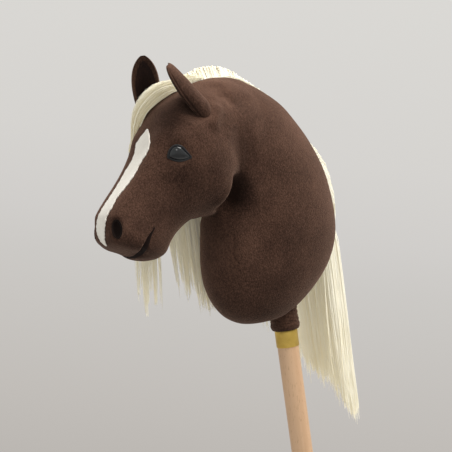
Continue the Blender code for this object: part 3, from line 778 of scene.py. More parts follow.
@dataclass(frozen=True)
class Lip:
    """A slit whose upper lip is crisp and whose lower lip falls away from it.

    On the lower side, at a distance s from the line, the skin goes in by
    depth (1 - s / width)^1.4, and both depth and width follow tables over the line's run.
    """

    line: tuple[Point, ...]
    core: Point
    # Share of the run, depth and width of the slit there.
    table: tuple[tuple[float, float, float], ...]
    snap: float = 0.0007
    reach: float = 0.02


@dataclass
class Skin:
    """The stuffed head and neck as one sewn velour skin, with a bore for the socket.

    Sizes are in metres. Heights are above the lowest point of the neck unless said.
    """

    voxel: float = 0.0028
    neck_sides: int = 120
    head_sides: int = 100
    section_steps: int = 6
    # Rounds of smoothing over the whole skin, and over the join of cheek and neck.
    first_rounds: int = 3
    smooth_rounds: int = 40
    # How far the stuffing fills the valley between cheek and neck, at the jowl and above it, and
    # the heights between which it changes.
    join_reach: Span = (0.002, 0.03)
    join_level: Span = (0.168, 0.222)
    # How wide the join is evened out: at the throat, and how much wider up at the poll.
    join_width: Span = (0.008, 0.024)
    bore_gap: float = 0.0003
    bore_sides: int = 64
    # Where the rays that find the crest aim: x and height, their first and last angle and their number.
    crest_heart: Span = (-0.02, 0.13)
    crest_fan: Span = (134.0, -42.0)
    crest_rays: int = 150
    poll: Span = (-0.066, 0.287)
    # Rows to a section where places between sections are looked up.
    fine_steps: int = 40
    # Height, centre x, half depth and half width of the neck's level sections.
    neck_sections: tuple[tuple[float, ...], ...] = (
        (0.0, -0.034, 0.0, 0.0), (0.0015, -0.034, 0.024, 0.017), (0.007, -0.034, 0.039, 0.028),
        (0.017, -0.031, 0.055, 0.038), (0.033, -0.0245, 0.072, 0.047), (0.052, -0.0175, 0.085, 0.054),
        (0.074, -0.012, 0.091, 0.058), (0.099, -0.0075, 0.091, 0.06), (0.13, -0.0055, 0.088, 0.059),
        (0.162, -0.0085, 0.085, 0.056), (0.192, -0.0175, 0.081, 0.052), (0.222, -0.033, 0.08, 0.046),
        (0.242, -0.044, 0.077, 0.041), (0.259, -0.055, 0.067, 0.034), (0.273, -0.062, 0.051, 0.025),
        (0.283, -0.065, 0.031, 0.015), (0.287, -0.066, 0.0, 0.0))
    # X and height of the ridge and of the jaw, half width, and the power of the head's sections.
    head_sections: tuple[tuple[float, ...], ...] = (
        (-0.024, 0.24, -0.024, 0.196, 0.008, 2.0), (-0.03, 0.262, -0.03, 0.178, 0.02, 2.0),
        (-0.048, 0.277, -0.042, 0.164, 0.033, 2.0), (-0.074, 0.285, -0.06, 0.152, 0.042, 2.05),
        (-0.105, 0.279, -0.08, 0.139, 0.053, 2.1), (-0.134, 0.2675, -0.093, 0.1355, 0.057, 2.15),
        (-0.152, 0.251, -0.1, 0.1345, 0.056, 2.2), (-0.164, 0.234, -0.112, 0.1345, 0.052, 2.2),
        (-0.174, 0.218, -0.127, 0.133, 0.045, 2.2), (-0.188, 0.202, -0.141, 0.127, 0.0385, 2.2),
        (-0.204, 0.187, -0.152, 0.119, 0.0345, 2.2), (-0.219, 0.174, -0.161, 0.109, 0.0335, 2.2),
        (-0.232, 0.161, -0.172, 0.102, 0.0345, 2.2), (-0.241, 0.149, -0.188, 0.1, 0.033, 2.2),
        (-0.243, 0.139, -0.205, 0.1055, 0.027, 2.1), (-0.24, 0.13, -0.218, 0.114, 0.017, 2.0),
        (-0.232, 0.122, -0.232, 0.122, 0.0, 2.0))
    # Where the cheek meets the neck, from the throat up to the poll: x and height.
    join_line: tuple[tuple[float, float], ...] = (
        (-0.132, 0.14), (-0.116, 0.1435), (-0.107, 0.15), (-0.0995, 0.1605), (-0.09, 0.169), (-0.082, 0.18),
        (-0.07, 0.205), (-0.06, 0.232), (-0.06, 0.258), (-0.072, 0.28))
    # Swells and hollows of the stuffing: neck below the jowl, cheek, brow, poll, muzzle and chin.
    form_dabs: tuple[Dab, ...] = (
        Dab((-0.08, 0.05, 0.152), (0.024, 0.04, 0.038), -0.008),
        Dab((-0.066, 0.052, 0.115), (0.03, 0.04, 0.05), -0.0028),
        Dab((-0.107, 0.045, 0.172), (0.026, 0.03, 0.028), 0.0028),
        Dab((-0.122, 0.032, 0.251), (0.02, 0.024, 0.022), -0.0062),
        Dab((-0.084, 0.024, 0.268), (0.024, 0.014, 0.016), -0.0022),
        Dab((-0.06, 0.037, 0.256), (0.026, 0.02, 0.014), -0.0018),
        Dab((-0.07, 0.052, 0.21), (0.026, 0.03, 0.03), -0.0025),
        Dab((-0.168, 0.04, 0.176), (0.026, 0.026, 0.022), -0.003),
        Dab((-0.236, 0.024, 0.144), (0.016, 0.016, 0.019), 0.0006),
        Dab((-0.16, 0.0, 0.115), (0.03, 0.034, 0.016), -0.0025, False),
        Dab((-0.243, 0.0, 0.143), (0.016, 0.022, 0.018), -0.0015, False),
        Dab((-0.2, 0.0, 0.104), (0.015, 0.03, 0.012), 0.001, False),
        Dab((-0.211, 0.022, 0.109), (0.012, 0.014, 0.012), -0.003),
    )
    # The drawn-in hollow behind the jowl, and the cheek's edge that stands out beside it.
    jowl: tuple[Crease, ...] = (
        Crease(((-0.075, 0.04, 0.18), (-0.0785, 0.035, 0.161), (-0.082, 0.032, 0.151),
                (-0.088, 0.029, 0.143), (-0.095, 0.025, 0.137), (-0.1, 0.019, 0.133)), 0.012, 0.0092,
               fade=0.25),
        Crease(((-0.084, 0.044, 0.18), (-0.092, 0.046, 0.169), (-0.103, 0.046, 0.159),
                (-0.111, 0.041, 0.15), (-0.118, 0.033, 0.143)), -0.0026, 0.0065, fade=0.35),
    )
    # The broad bridge of the nose, the drawn-in jaw, the full back of the neck and the mound before the ears.
    fills: tuple[Crease, ...] = (
        Crease(((-0.156, 0.022, 0.244), (-0.168, 0.021, 0.226), (-0.178, 0.019, 0.211),
                (-0.192, 0.017, 0.196), (-0.208, 0.016, 0.181), (-0.221, 0.015, 0.169),
                (-0.234, 0.015, 0.156), (-0.242, 0.016, 0.144)), -0.0033, 0.01, fade=0.12),
        Crease(((-0.118, 0.0, 0.1345), (-0.141, 0.0, 0.127), (-0.152, 0.0, 0.119),
                (-0.161, 0.0, 0.109), (-0.17, 0.0, 0.103)), 0.003, 0.022, False, 0.2),
        Crease(((0.055, 0.027, 0.045), (0.067, 0.029, 0.075), (0.0713, 0.03, 0.099), (0.0707, 0.0295, 0.13),
                (0.0651, 0.028, 0.162), (0.0527, 0.026, 0.192), (0.0363, 0.023, 0.222),
                (0.0227, 0.0205, 0.242)), -0.0019, 0.028, fade=0.25),
        Crease(((-0.0955, 0.042, 0.251), (-0.108, 0.0485, 0.2375)), -0.0045, 0.0065, fade=0.0),
    )
    # The neck's seam, the seam along the nose, and two folds behind the ears' roots.
    seams: tuple[Crease, ...] = (
        Crease(((-0.0829, 0.0301, 0.1143), (-0.0861, 0.0296, 0.1013), (-0.0888, 0.0295, 0.0865),
                (-0.0869, 0.0328, 0.0765), (-0.0927, 0.0269, 0.0673), (-0.0923, 0.0209, 0.0403)),
               0.0009, 0.0016, fade=0.12),
        Crease(((-0.1922, 0.0235, 0.1857), (-0.2005, 0.022, 0.1789), (-0.2083, 0.0224, 0.171),
                (-0.2185, 0.0204, 0.1644), (-0.2261, 0.0205, 0.1574)), 0.0006, 0.0014, fade=0.2),
        Crease(((-0.0924, 0.036, 0.2638), (-0.0796, 0.0367, 0.2649), (-0.0706, 0.0363, 0.2642),
                (-0.0637, 0.037, 0.2593)), 0.0022, 0.006, fade=0.4),
        Crease(((-0.0821, 0.0426, 0.2548), (-0.0692, 0.0396, 0.2568), (-0.0582, 0.04, 0.2534)),
               0.0012, 0.0055, fade=0.45),
    )

    def __post_init__(self) -> None:
        """Take the neck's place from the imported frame."""
        self.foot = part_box("neck")[0].z
        self.crest: Array = np.zeros((0, 3))
        self.surface: Array = np.zeros((0, 3))
        self.piece: bpy.types.Object | None = None
        self.tree: BVHTree | None = None
        self.pocket_seats: dict[Side, "Seat"] = {}

    def neck_rings(self, steps: int) -> Array:
        """Level ellipses: x = centre + depth cos t, y = width sin t."""
        rows = curve_through(np.array(self.neck_sections), steps)
        turn = np.linspace(0, 2 * np.pi, self.neck_sides, endpoint=False)
        depth, width = np.clip(rows[:, 2:3], 0, None), np.clip(rows[:, 3:4], 0, None)
        height = np.repeat(self.foot + rows[:, :1], self.neck_sides, axis=1)
        return np.stack([rows[:, 1:2] + depth * np.cos(turn), width * np.sin(turn), height], axis=-1)

    def head_rings(self, rows: Array, turn: Array) -> Array:
        """Superellipses from ridge to jaw: each coordinate goes as a power 2/p of cosine or sine.

        Args:
            rows: sections of shape (n, 6).
            turn: angles, of which 0 is the ridge and a quarter turn the right side.
        Returns:
            Points of shape (n, angles, 3).
        """
        cosine, sine = np.cos(turn), np.sin(turn)
        power = 2 / rows[:, 5:6]
        reach = np.sign(cosine) * np.abs(cosine) ** power
        side = np.clip(rows[:, 4:5], 0, None) * np.sign(sine) * np.abs(sine) ** power
        middle, half = (rows[:, 0:2] + rows[:, 2:4]) / 2, (rows[:, 0:2] - rows[:, 2:4]) / 2
        x = middle[:, 0:1] + half[:, 0:1] * reach
        z = self.foot + middle[:, 1:2] + half[:, 1:2] * reach
        return np.stack([x, side, z], axis=-1)

    def face_row(self, place: Array) -> Array:
        """The head's sections at fractional places, on the same curve as the loft's."""
        fine = curve_through(np.array(self.head_sections), self.fine_steps)
        where = np.clip(place * self.fine_steps, 0, len(fine) - 1.001)
        low = where.astype(int)
        part = (where - low)[:, None]
        return fine[low] * (1 - part) + fine[low + 1] * part

    def on_face(self, place: Array, offset: Array) -> Array:
        """Points on the upper side of the head at some distance from its ridge.

        Args:
            place: section numbers.
            offset: distances to the right of the ridge.
        Returns:
            Points of shape (n, 3).
        """
        rows = self.face_row(place)
        share = np.clip(np.abs(offset) / np.maximum(rows[:, 4], 1e-6), 0, 0.98)
        turn = np.sign(offset) * np.arcsin(share ** (rows[:, 5] / 2))
        return self.head_rings(rows, turn[:, None])[:, 0]

    def crest_line(self) -> Array:
        """The skin's own line over the poll and down the back, in the middle plane, from the brow on.

        Rays come in from outside towards a point in the neck, fanned from forward of the poll to
        the foot of the back.
        """
        heart = Vector((self.crest_heart[0], 0.0, self.foot + self.crest_heart[1]))
        spots = []
        for angle in np.radians(np.linspace(*self.crest_fan, self.crest_rays)):
            way = Vector((math.cos(angle), 0.0, math.sin(angle)))
            found = self.tree.ray_cast(heart + way * 0.4, -way)[0]
            if found:
                spots.append((found.x, 0.0, found.z))
        return np.array(spots)

    def crest_run(self) -> Array:
        """Lengths along the crest, counted from the poll: negative before it."""
        steps = np.linalg.norm(np.diff(self.crest, axis=0), axis=1)
        run = np.concatenate([[0.0], np.cumsum(steps)])
        poll = np.array([self.poll[0], 0.0, self.foot + self.poll[1]])
        return run - run[np.linalg.norm(self.crest - poll, axis=1).argmin()]

    def form(self) -> bpy.types.Object:
        """The two stuffed shapes joined into one mesh of even cells."""
        neck = closed_loft("plush_skin", self.neck_rings(self.section_steps))
        rows = curve_through(np.array(self.head_sections), self.section_steps)
        turn = np.linspace(0, 2 * np.pi, self.head_sides, endpoint=False)
        head = closed_loft("head_form", self.head_rings(rows, turn))
        with bpy.context.temp_override(active_object=neck, selected_editable_objects=[neck, head]):
            bpy.ops.object.join()
        cells = neck.modifiers.new("cells", "REMESH")
        cells.mode = "VOXEL"
        cells.voxel_size = self.voxel
        return apply_modifiers(neck)

    def smooth(self, piece: bpy.types.Object, weight: Array, rounds: int) -> None:
        """Even out a mesh without shrinking it.

        Each round moves every point towards the mean of its neighbours by 0.5 of its weight,
        and then away from the new mean by 0.52 of it.

        Args:
            piece: the mesh.
            weight: how much each point gives way, from 0 to 1.
            rounds: how often.
        """
        edges = np.empty(len(piece.data.edges) * 2, np.int32)
        piece.data.edges.foreach_get("vertices", edges)
        a, b = edges.reshape(-1, 2).T
        points = read_points(piece)
        count = np.bincount(a, minlength=len(points)) + np.bincount(b, minlength=len(points))
        for turn in range(2 * rounds):
            total = [np.bincount(a, points[b, k], len(points)) + np.bincount(b, points[a, k], len(points))
                     for k in range(3)]
            give = (0.5 if turn % 2 == 0 else -0.52) * weight[:, None]
            points += give * (np.stack(total, axis=-1) / count[:, None] - points)
        write_points(piece, points)

    def neck_side(self, x: Array, z: Array) -> Array:
        """Half width of the neck at places on its middle plane, from its ellipses."""
        rows = curve_through(np.array(self.neck_sections), self.fine_steps)
        level = z - self.foot
        centre, depth, width = (np.interp(level, rows[:, 0], rows[:, k]) for k in (1, 2, 3))
        width = np.clip(width, 0, None)
        share = 1 - ((x - centre) / np.maximum(depth, 1e-6)) ** 2
        inside = (level > 0) & (level < rows[-1, 0])
        return np.where(inside, width * np.sqrt(np.clip(share, 0, 1)), 0.0)

    def fill_join(self, piece: bpy.types.Object) -> None:
        """Fill the valley between cheek and neck with stuffing.

        Where the half widths a and b of the two differ by less than a reach k, the skin goes
        out sideways by (k - |a - b|)^2 / 4k. The reach is small at the jowl, so the crease
        stays sharp there, and grows above it.
        """
        turn = np.linspace(0, 2 * np.pi, 240, endpoint=False)
        rows = curve_through(np.array(self.head_sections), 24)
        head = DepthMap(self.head_rings(rows, turn).reshape(-1, 3), 0.002)
        points, normals = read_points(piece), read_normals(piece)
        a, b = self.neck_side(points[:, 0], points[:, 2]), head.at(points[:, 0], points[:, 2])
        level = points[:, 2] - self.foot
        (least, most), (low, high) = self.join_reach, self.join_level
        reach = least + (most - least) * smoothstep((level - low) / (high - low))
        out = np.clip(reach - np.abs(a - b), 0, None) ** 2 / (4 * reach)
        out *= smoothstep(np.minimum(a, b) / 0.016) * np.abs(normals[:, 1])
        points[:, 1] += np.sign(points[:, 1]) * out
        write_points(piece, points)

    def lifted(self, spots: tuple[tuple[float, ...], ...]) -> Array:
        """Points given with heights above the neck's foot, put in the shared frame."""
        return np.array(spots, float) + np.array([0.0, 0.0, self.foot])

    def across_middle(self, line: tuple[Point, ...]) -> Array:
        """A curve from a line's first point on the left to the middle, and on to its like on the right."""
        half = curve_through(self.lifted(line), 8)
        return np.vstack([half * np.array([1, -1, 1]), half[-2::-1]])

    def press(self, piece: bpy.types.Object, marks: tuple[Dab | Crease, ...]) -> None:
        """Push a mesh's points along their normals by dabs and creases, on one side or both."""
        points, normals = read_points(piece), read_normals(piece)
        move = np.zeros(len(points))
        for mark in marks:
            for flip in (1, -1) if mark.mirrored else (1,):
                side = np.array([1.0, flip, 1.0])
                if isinstance(mark, Dab):
                    centre = self.lifted((mark.centre,))[0] * side
                    q = np.linalg.norm((points - centre) / np.array(mark.radii), axis=1)
                    move += mark.amount * np.clip(1 - q * q, 0, None) ** 2
                else:
                    distance, run, _ = line_distance(points, self.lifted(mark.line) * side)
                    ends = 1.0
                    if mark.fade:
                        ends = smoothstep(run / mark.fade) * smoothstep((1 - run) / mark.fade)
                    move -= mark.depth * ends * np.exp(-((distance / mark.width) ** 2))
        write_points(piece, points + normals * move[:, None])

    def sink_pit(self, piece: bpy.types.Object, pit: Pit) -> None:
        """Sew a pocket into both sides of the skin."""
        self.tree = tree_of(piece)
        points, normals = read_points(piece), read_normals(piece)
        for side in Side:
            seat = self.pocket_seats[side] = Seat(self, pit.x, pit.height, pit.forward, pit.upward, side)
            away = points - seat.origin
            along, up, out = (away @ way for way in (seat.along, seat.up, seat.out))
            near = (np.abs(out) < pit.reach) & (normals @ seat.out > 0)
            q = np.hypot(along / pit.half_wide, up / pit.half_tall)
            q = np.where(near, np.maximum(q, 1e-6), 9.0)
            gap = (q - 1) / q * np.hypot(along, up)
            hold = np.abs(gap) < pit.snap
            points[hold] -= ((along * (1 - 1 / q))[hold, None] * seat.along
                             + (up * (1 - 1 / q))[hold, None] * seat.up)
            inside = ~hold & (q < 1)
            points[inside] -= (pit.depth * np.sqrt(1 - q[inside] ** 2))[:, None] * seat.out
            beside = np.clip(1 - (q - 1) / 0.5, 0, 1)
            points -= (pit.rounding * np.where(q < 1, 1.0, beside**2) * near)[:, None] * seat.out
        write_points(piece, points)

    def slit(self, piece: bpy.types.Object, lip: Lip) -> None:
        """Draw in the slit between the lips, with its lower side falling away from the upper."""
        points, normals = read_points(piece), read_normals(piece)
        line = self.across_middle(lip.line)
        table = np.array(lip.table)
        core = self.lifted((lip.core,))[0]
        distance, run, place = line_distance(points, line)
        ahead = unit(np.gradient(line, axis=0))
        step = np.concatenate([[0.0], np.cumsum(np.linalg.norm(np.diff(line, axis=0), axis=1))])
        heading = np.stack([np.interp(run, step / step[-1], ahead[:, k]) for k in range(3)], axis=-1)
        inward = unit(core - place)
        below = unit(np.cross(heading, inward))
        away = ((points - place) * below).sum(axis=1)
        share = 1 - np.abs(2 * run - 1)
        depth, width = (np.interp(share, table[:, 0], table[:, k]) for k in (1, 2))
        near = distance < lip.reach
        hold = near & (np.abs(away) < lip.snap) & (share > 0.03)
        points[hold] -= (away[hold, None] * below[hold])
        fall = near & ~hold & (away > 0) & (away < width) & (distance < 1.6 * width)
        sunk = depth * np.clip(1 - away / np.maximum(width, 1e-6), 0, 1) ** 1.4
        points[fall] -= normals[fall] * sunk[fall, None]
        write_points(piece, points)

    def bore(self, piece: bpy.types.Object) -> None:
        """Cut the hole for the socket tube and its cap, one gap larger than they are."""
        low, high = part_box("socket_tube")[0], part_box("socket_cap")[1]
        radius = high.x + self.bore_gap
        top = high.z + self.bore_gap
        tool = closed_loft("bore_tool", turned([(radius, low.z), (radius, top)], self.bore_sides))
        cut = piece.modifiers.new("bore", "BOOLEAN")
        cut.operation, cut.solver, cut.object = "DIFFERENCE", "EXACT", tool
        apply_modifiers(piece)
        remove(tool)

    def build(self, finishes: Finishes, marks: tuple[Dab | Crease, ...], pit: Pit, lip: Lip) -> None:
        """Make the skin: join, smooth, press, subdivide, sew in the pockets and bore it.

        Args:
            finishes: the horse's materials.
            marks: the fine dabs and creases of the face.
            pit: the pocket sewn into both its sides.
            lip: the slit between its lips.
        """
        piece = self.form()
        points = read_points(piece)
        self.fill_join(piece)
        self.smooth(piece, np.ones(len(points)), self.first_rounds)
        line = self.lifted(tuple((x, 0.0, z) for x, z in self.join_line))
        distance, run, _ = line_distance(points * np.array([1.0, 0.0, 1.0]), line)
        near = np.exp(-((distance / (self.join_width[0] + self.join_width[1] * run)) ** 2))
        self.smooth(piece, near * (0.05 + 0.95 * smoothstep((run - 0.4) / 0.35)), self.smooth_rounds)
        self.press(piece, self.form_dabs + self.fills + self.jowl)
        refine(piece)
        self.press(piece, marks + self.seams)
        self.sink_pit(piece, pit)
        self.slit(piece, lip)
        self.tree = tree_of(piece)
        self.crest = self.crest_line()
        self.surface = read_points(piece)
        self.bore(piece)
        settle(piece, finishes.velour, "head", "velour", "neck", "head")
        self.piece = piece

    def side_at(self, x: float, z: float, side: Side) -> float:
        """Distance of the skin's surface from the middle plane, or 0 off the skin."""
        sign = side.value
        found = self.tree.ray_cast(Vector((x, sign * 0.4, z)), Vector((0, -sign, 0)))[0]
        return abs(found.y) if found else 0.0


@dataclass
class Seat:
    """A place on the side of the head with its own axes: rearward, upward and outward."""

    skin: Skin
    x: float
    height: float
    forward: float
    upward: float
    side: Side

    def __post_init__(self) -> None:
        """Find the surface there and turn the axes to face forward and up by the two angles."""
        sign = self.side.value
        forward, upward = math.radians(self.forward), math.radians(self.upward)
        z = self.skin.foot + self.height
        self.origin = np.array([self.x, sign * self.skin.side_at(self.x, z, self.side), z])
        level = math.cos(upward)
        self.out = np.array([-math.sin(forward) * level, sign * math.cos(forward) * level, math.sin(upward)])
        self.along = np.array([math.cos(forward), sign * math.sin(forward), 0.0])
        self.up = np.cross(self.along, self.out) * sign

    def points(self, along: Array, up: Array, out: Array) -> Array:
        """Places at distances rearward, upward and outward of the seat."""
        return (self.origin + along[..., None] * self.along + up[..., None] * self.up
                + np.broadcast_to(out, along.shape)[..., None] * self.out)


def laid_sheet(name: str, grid: Array, skin: Skin, gap: float, thickness: float) -> bpy.types.Object:
    """A sheet laid on the skin: a grid near it, wrapped close and given a wall outwards.

    Args:
        name: the object's name.
        grid: points of shape (rows, columns, 3).
        skin: the skin it lies on.
        gap: how far its underside stays off the skin.
        thickness: its wall.
    Returns:
        The object, with its modifiers applied.
    """
    rows, columns = grid.shape[:2]
    sheet = make_mesh(name, grid.reshape(-1, 3), grid_quads(rows, columns))
    middle = skin.tree.find_nearest(Vector(grid[rows // 2, columns // 2]))[1]
    if read_normals(sheet).mean(axis=0) @ np.array(middle) < 0:
        sheet.data.flip_normals()
    wrap = sheet.modifiers.new("seat", "SHRINKWRAP")
    wrap.target = skin.piece
    wrap.wrap_method = "NEAREST_SURFACEPOINT"
    wrap.wrap_mode = "ABOVE_SURFACE"
    wrap.offset = gap
    wall = sheet.modifiers.new("wall", "SOLIDIFY")
    wall.thickness = thickness
    wall.offset = 1.0
    return apply_modifiers(sheet)


# Face.


@dataclass
class Eyes:
    """Domed almond eyes in leather rims, sewn into shallow sockets."""

    x: float = -0.1548
    height: float = 0.2118
    forward: float = 37.0
    upward: float = 10.5
    dome: float = 0.0046
    rim: float = 0.0011
    seat: float = 0.003
    # How far the whole eye stands off the skin, and how high the rim is.
    proud: float = 0.0008
    bead: float = 0.0012
    sides: int = 96
    # The rim's outer edge round the seat: rearward and upward from its middle.
    edge: tuple[tuple[float, float], ...] = (
        (0.0142, -0.0064), (0.0099, 0.0012), (0.0058, 0.007), (0.0007, 0.0094), (-0.0045, 0.0088),
        (-0.0095, 0.0045), (-0.0123, -0.0026), (-0.0106, -0.005), (-0.0065, -0.0076), (-0.0009, -0.0097),
        (0.005, -0.0099), (0.0106, -0.0086))

    def marks(self) -> tuple[Dab | Crease, ...]:
        """The shallow socket that the stitches draw in round each eye, and the lids' swell."""
        return (Dab((self.x - 0.002, 0.043, self.height), (0.019, 0.022, 0.0155), -0.0026),
                Dab((self.x + 0.002, 0.043, self.height + 0.018), (0.018, 0.016, 0.009), 0.001))

    def outline(self, inset: float) -> tuple[Array, Array]:
        """The almond: a closed curve through the edge's points, drawn in towards its middle.

        Args:
            inset: how far inside the rim's outer edge the outline runs.
        Returns:
            Distances rearward and upward.
        """
        given = np.array(self.edge + self.edge[:1])
        around = curve_through(np.vstack([given[-2], given, given[1]]), 16)[16:-16]
        angle = np.unwrap(np.arctan2(around[:, 1], around[:, 0]))
        turn = angle[0] + np.linspace(0, 2 * np.pi, self.sides, endpoint=False)
        reach = np.interp(turn, angle, np.hypot(around[:, 0], around[:, 1])) - inset
        return reach * np.cos(turn), reach * np.sin(turn)

    def ball(self, seat: Seat) -> Array:
        """Rings of the dome: height = dome sqrt(1 - r^2), down over its edge to the seat's floor."""
        along, up = self.outline(1.75 * self.rim)
        share = np.sin(np.linspace(0.02, np.pi / 2, 22))[:, None]
        rings = seat.points(share * along, share * up, self.dome * np.sqrt(1 - share**2))
        floor = seat.points(along[None], up[None], np.array([[-self.seat]]))
        return np.concatenate([rings, floor])

    def rim_hoop(self, seat: Seat) -> Array:
        """A half-round cord laid round the almond: a profile carried along the outline."""
        rows = []
        for angle in np.linspace(0, 2 * np.pi, 14, endpoint=False):
            along, up = self.outline(self.rim - self.rim * math.cos(angle))
            rows.append(seat.points(along, up, np.array(0.0002 + self.bead * math.sin(angle))))
        return np.array(rows)

    def build(self, skin: Skin, finishes: Finishes) -> None:
        """Make both eyes and their rims."""
        for side in Side:
            seat = Seat(skin, self.x, self.height, self.forward, self.upward, side)
            seat.origin = seat.origin + seat.out * self.proud
            ball = closed_loft(f"eye_ball_{side.word}", self.ball(seat))
            settle(ball, finishes.resin, "head", "eye_resin", f"eye_{side.word}")
            rim = closed_hoop(f"eye_lid_rim_{side.word}", self.rim_hoop(seat))
            settle(rim, finishes.rim, "head", "rim_leather", f"eye_rim_{side.word}")
            dress(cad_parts[f"eye_washer_{side.word}"], finishes.nylon)


@dataclass
class Nostrils:
    """Felt-lined pockets at the end of the muzzle."""

    x: float = -0.2374
    height: float = 0.144
    forward: float = 45.0
    upward: float = 12.7
    tall: float = 0.0212
    wide: float = 0.012
    depth: float = 0.008
    pit_share: float = 1.4
    # How far the cup's mouth lies under the skin's rim, and its felt's thickness.
    sunk: float = 0.0032
    wall: float = 0.0009
    # The cup's size as a share of the pocket's.
    slack: float = 0.97

    def marks(self) -> tuple[Dab | Crease, ...]:
        """The soft ridge round the pocket."""
        return (Dab((self.x, 0.024, self.height), (0.01, 0.0115, 0.0155), 0.0013),)

    def pit(self) -> Pit:
        """The pocket in the skin, deeper than the cup that lines it."""
        deeper = self.pit_share * self.depth
        return Pit(self.x, self.height, self.forward, self.upward, self.wide / 2, self.tall / 2, deeper)

    def cup(self, seat: Seat) -> Array:
        """Rings of a bowl: half an ellipsoid, out = -depth cos a, with a felt wall."""
        turn = np.linspace(0, 2 * np.pi, 48, endpoint=False)
        half = self.slack / 2
        rows = []
        for inset, shares in ((0.0, np.linspace(0.02, 0.46, 10)), (self.wall, np.linspace(0.46, 0.02, 10))):
            for share in shares:
                size = math.sin(share * math.pi)
                rise = -(self.depth - inset) * math.cos(share * math.pi) - self.sunk
                rows.append(seat.points((half * self.wide - inset) * size * np.cos(turn),
                                        (half * self.tall - inset) * size * np.sin(turn), np.array(rise)))
        return np.array(rows)

    def build(self, skin: Skin, finishes: Finishes) -> None:
        """Make both felt cups."""
        for side in Side:
            cup = closed_loft(f"nostril_cup_{side.word}", self.cup(skin.pocket_seats[side]))
            settle(cup, finishes.dark_felt, "head", "dark_felt", f"nostril_{side.word}")


@dataclass
class Mouth:
    """The slit between the lips, with a strip of dark felt in it."""

    # The upper lip's edge, from the corner to the front of the chin: x, distance from the middle, height.
    line: tuple[Point, ...] = (
        (-0.1965, 0.0339, 0.1385), (-0.2019, 0.0343, 0.1342), (-0.2065, 0.0343, 0.1305),
        (-0.2098, 0.034, 0.127), (-0.2124, 0.0332, 0.1238), (-0.2143, 0.0317, 0.1208),
        (-0.2152, 0.0292, 0.1175), (-0.2145, 0.0231, 0.1132), (-0.213, 0.0147, 0.1102),
        (-0.212, 0.006, 0.1086), (-0.2118, 0.0, 0.1083))
    core: Point = (-0.195, 0.0, 0.13)
    strip_share: float = 0.72
    strip_wall: float = 0.0008

    def marks(self) -> tuple[Dab | Crease, ...]:
        """The lips that swell beside the slit."""
        return (Dab((-0.218, 0.028, 0.126), (0.012, 0.016, 0.011), 0.0014),)

    def lip(self) -> Lip:
        """The slit: it opens from the corner towards the front, and closes under the chin."""
        return Lip(self.line, self.core, (
            (0.0, 0.0, 0.002), (0.1, 0.0048, 0.0042), (0.3, 0.0088, 0.0082), (0.52, 0.0095, 0.0098),
            (0.7, 0.0064, 0.008), (1.0, 0.0036, 0.006)))

    def build(self, skin: Skin, finishes: Finishes) -> None:
        """Lay felt in the open slit from corner to corner, from the upper lip down over part of the fall."""
        whole = skin.across_middle(self.line)
        inward = unit(skin.lifted((self.core,))[0] - whole)
        ahead = unit(np.gradient(whole, axis=0))
        below = unit(np.cross(ahead, inward))
        share = 1 - np.abs(np.linspace(-1, 1, len(whole)))
        table = np.array(self.lip().table)
        deep, wide = (np.interp(share, table[:, 0], table[:, k])[:, None, None] for k in (1, 2))
        down = np.linspace(0.06, self.strip_share, 12)[None, :, None]
        grid = whole[:, None] + below[:, None] * wide * down + inward[:, None] * deep * (1 - down)
        strip = laid_sheet("mouth_felt", grid, skin, 0.0002, self.strip_wall)
        settle(strip, finishes.dark_felt, "head", "dark_felt", "mouth_lining")


@dataclass
class Blaze:
    """A felt stripe sewn down the face, widest below its upper point, with hand-cut edges."""

    # Section number of the head, half width to the left and to the right.
    outline: tuple[tuple[float, float, float], ...] = (
        (6.62, 0.0006, 0.0006), (6.86, 0.0052, 0.0038), (7.15, 0.0096, 0.008), (7.45, 0.0132, 0.011),
        (7.62, 0.0142, 0.0112), (7.9, 0.0145, 0.0092), (8.19, 0.0139, 0.0076), (8.55, 0.0122, 0.0066),
        (8.84, 0.0114, 0.0068), (9.15, 0.0121, 0.0076), (9.4, 0.0124, 0.0074), (9.75, 0.0119, 0.0064),
        (10.0, 0.0114, 0.0062), (10.3, 0.0107, 0.0057), (10.54, 0.0101, 0.0053), (10.85, 0.0089, 0.0051),
        (11.15, 0.0085, 0.0052), (11.5, 0.0095, 0.006), (11.77, 0.0098, 0.0064), (12.1, 0.009, 0.0066),
        (12.5, 0.0084, 0.0068), (12.9, 0.008, 0.0068), (13.2, 0.0075, 0.0072), (13.7, 0.0068, 0.0066),
        (14.22, 0.0058, 0.0052), (14.9, 0.003, 0.003), (15.45, 0.0006, 0.0006))
    thickness: float = 0.0013
    snips: float = 0.0003
    rows: int = 190
    columns: int = 25

    def build(self, skin: Skin, finishes: Finishes) -> None:
        """Lay the felt on the skin: a grid on the head's own surface, wrapped close and given a wall."""
        table = np.array(self.outline)
        place = np.linspace(table[0, 0], table[-1, 0], self.rows)
        left, right = (np.interp(place, table[:, 0], table[:, k]) for k in (1, 2))
        snip = np.sin(14.5 * place + 0.6) + 0.6 * np.sin(33.0 * place)
        left += self.snips * snip * (left > 0.003)
        right -= self.snips * snip[::-1] * (right > 0.003)
        share = np.linspace(-1, 1, self.columns)
        offset = np.where(share[None] < 0, left[:, None] * share[None], right[:, None] * share[None])
        flat_place = np.repeat(place, self.columns)
        grid = skin.on_face(flat_place, offset.ravel() + 1e-6).reshape(self.rows, self.columns, 3)
        sheet = laid_sheet("blaze_felt", grid, skin, 0.00025, self.thickness)
        settle(sheet, finishes.cream_felt, "head", "cream_felt", "blaze")


# Ears.


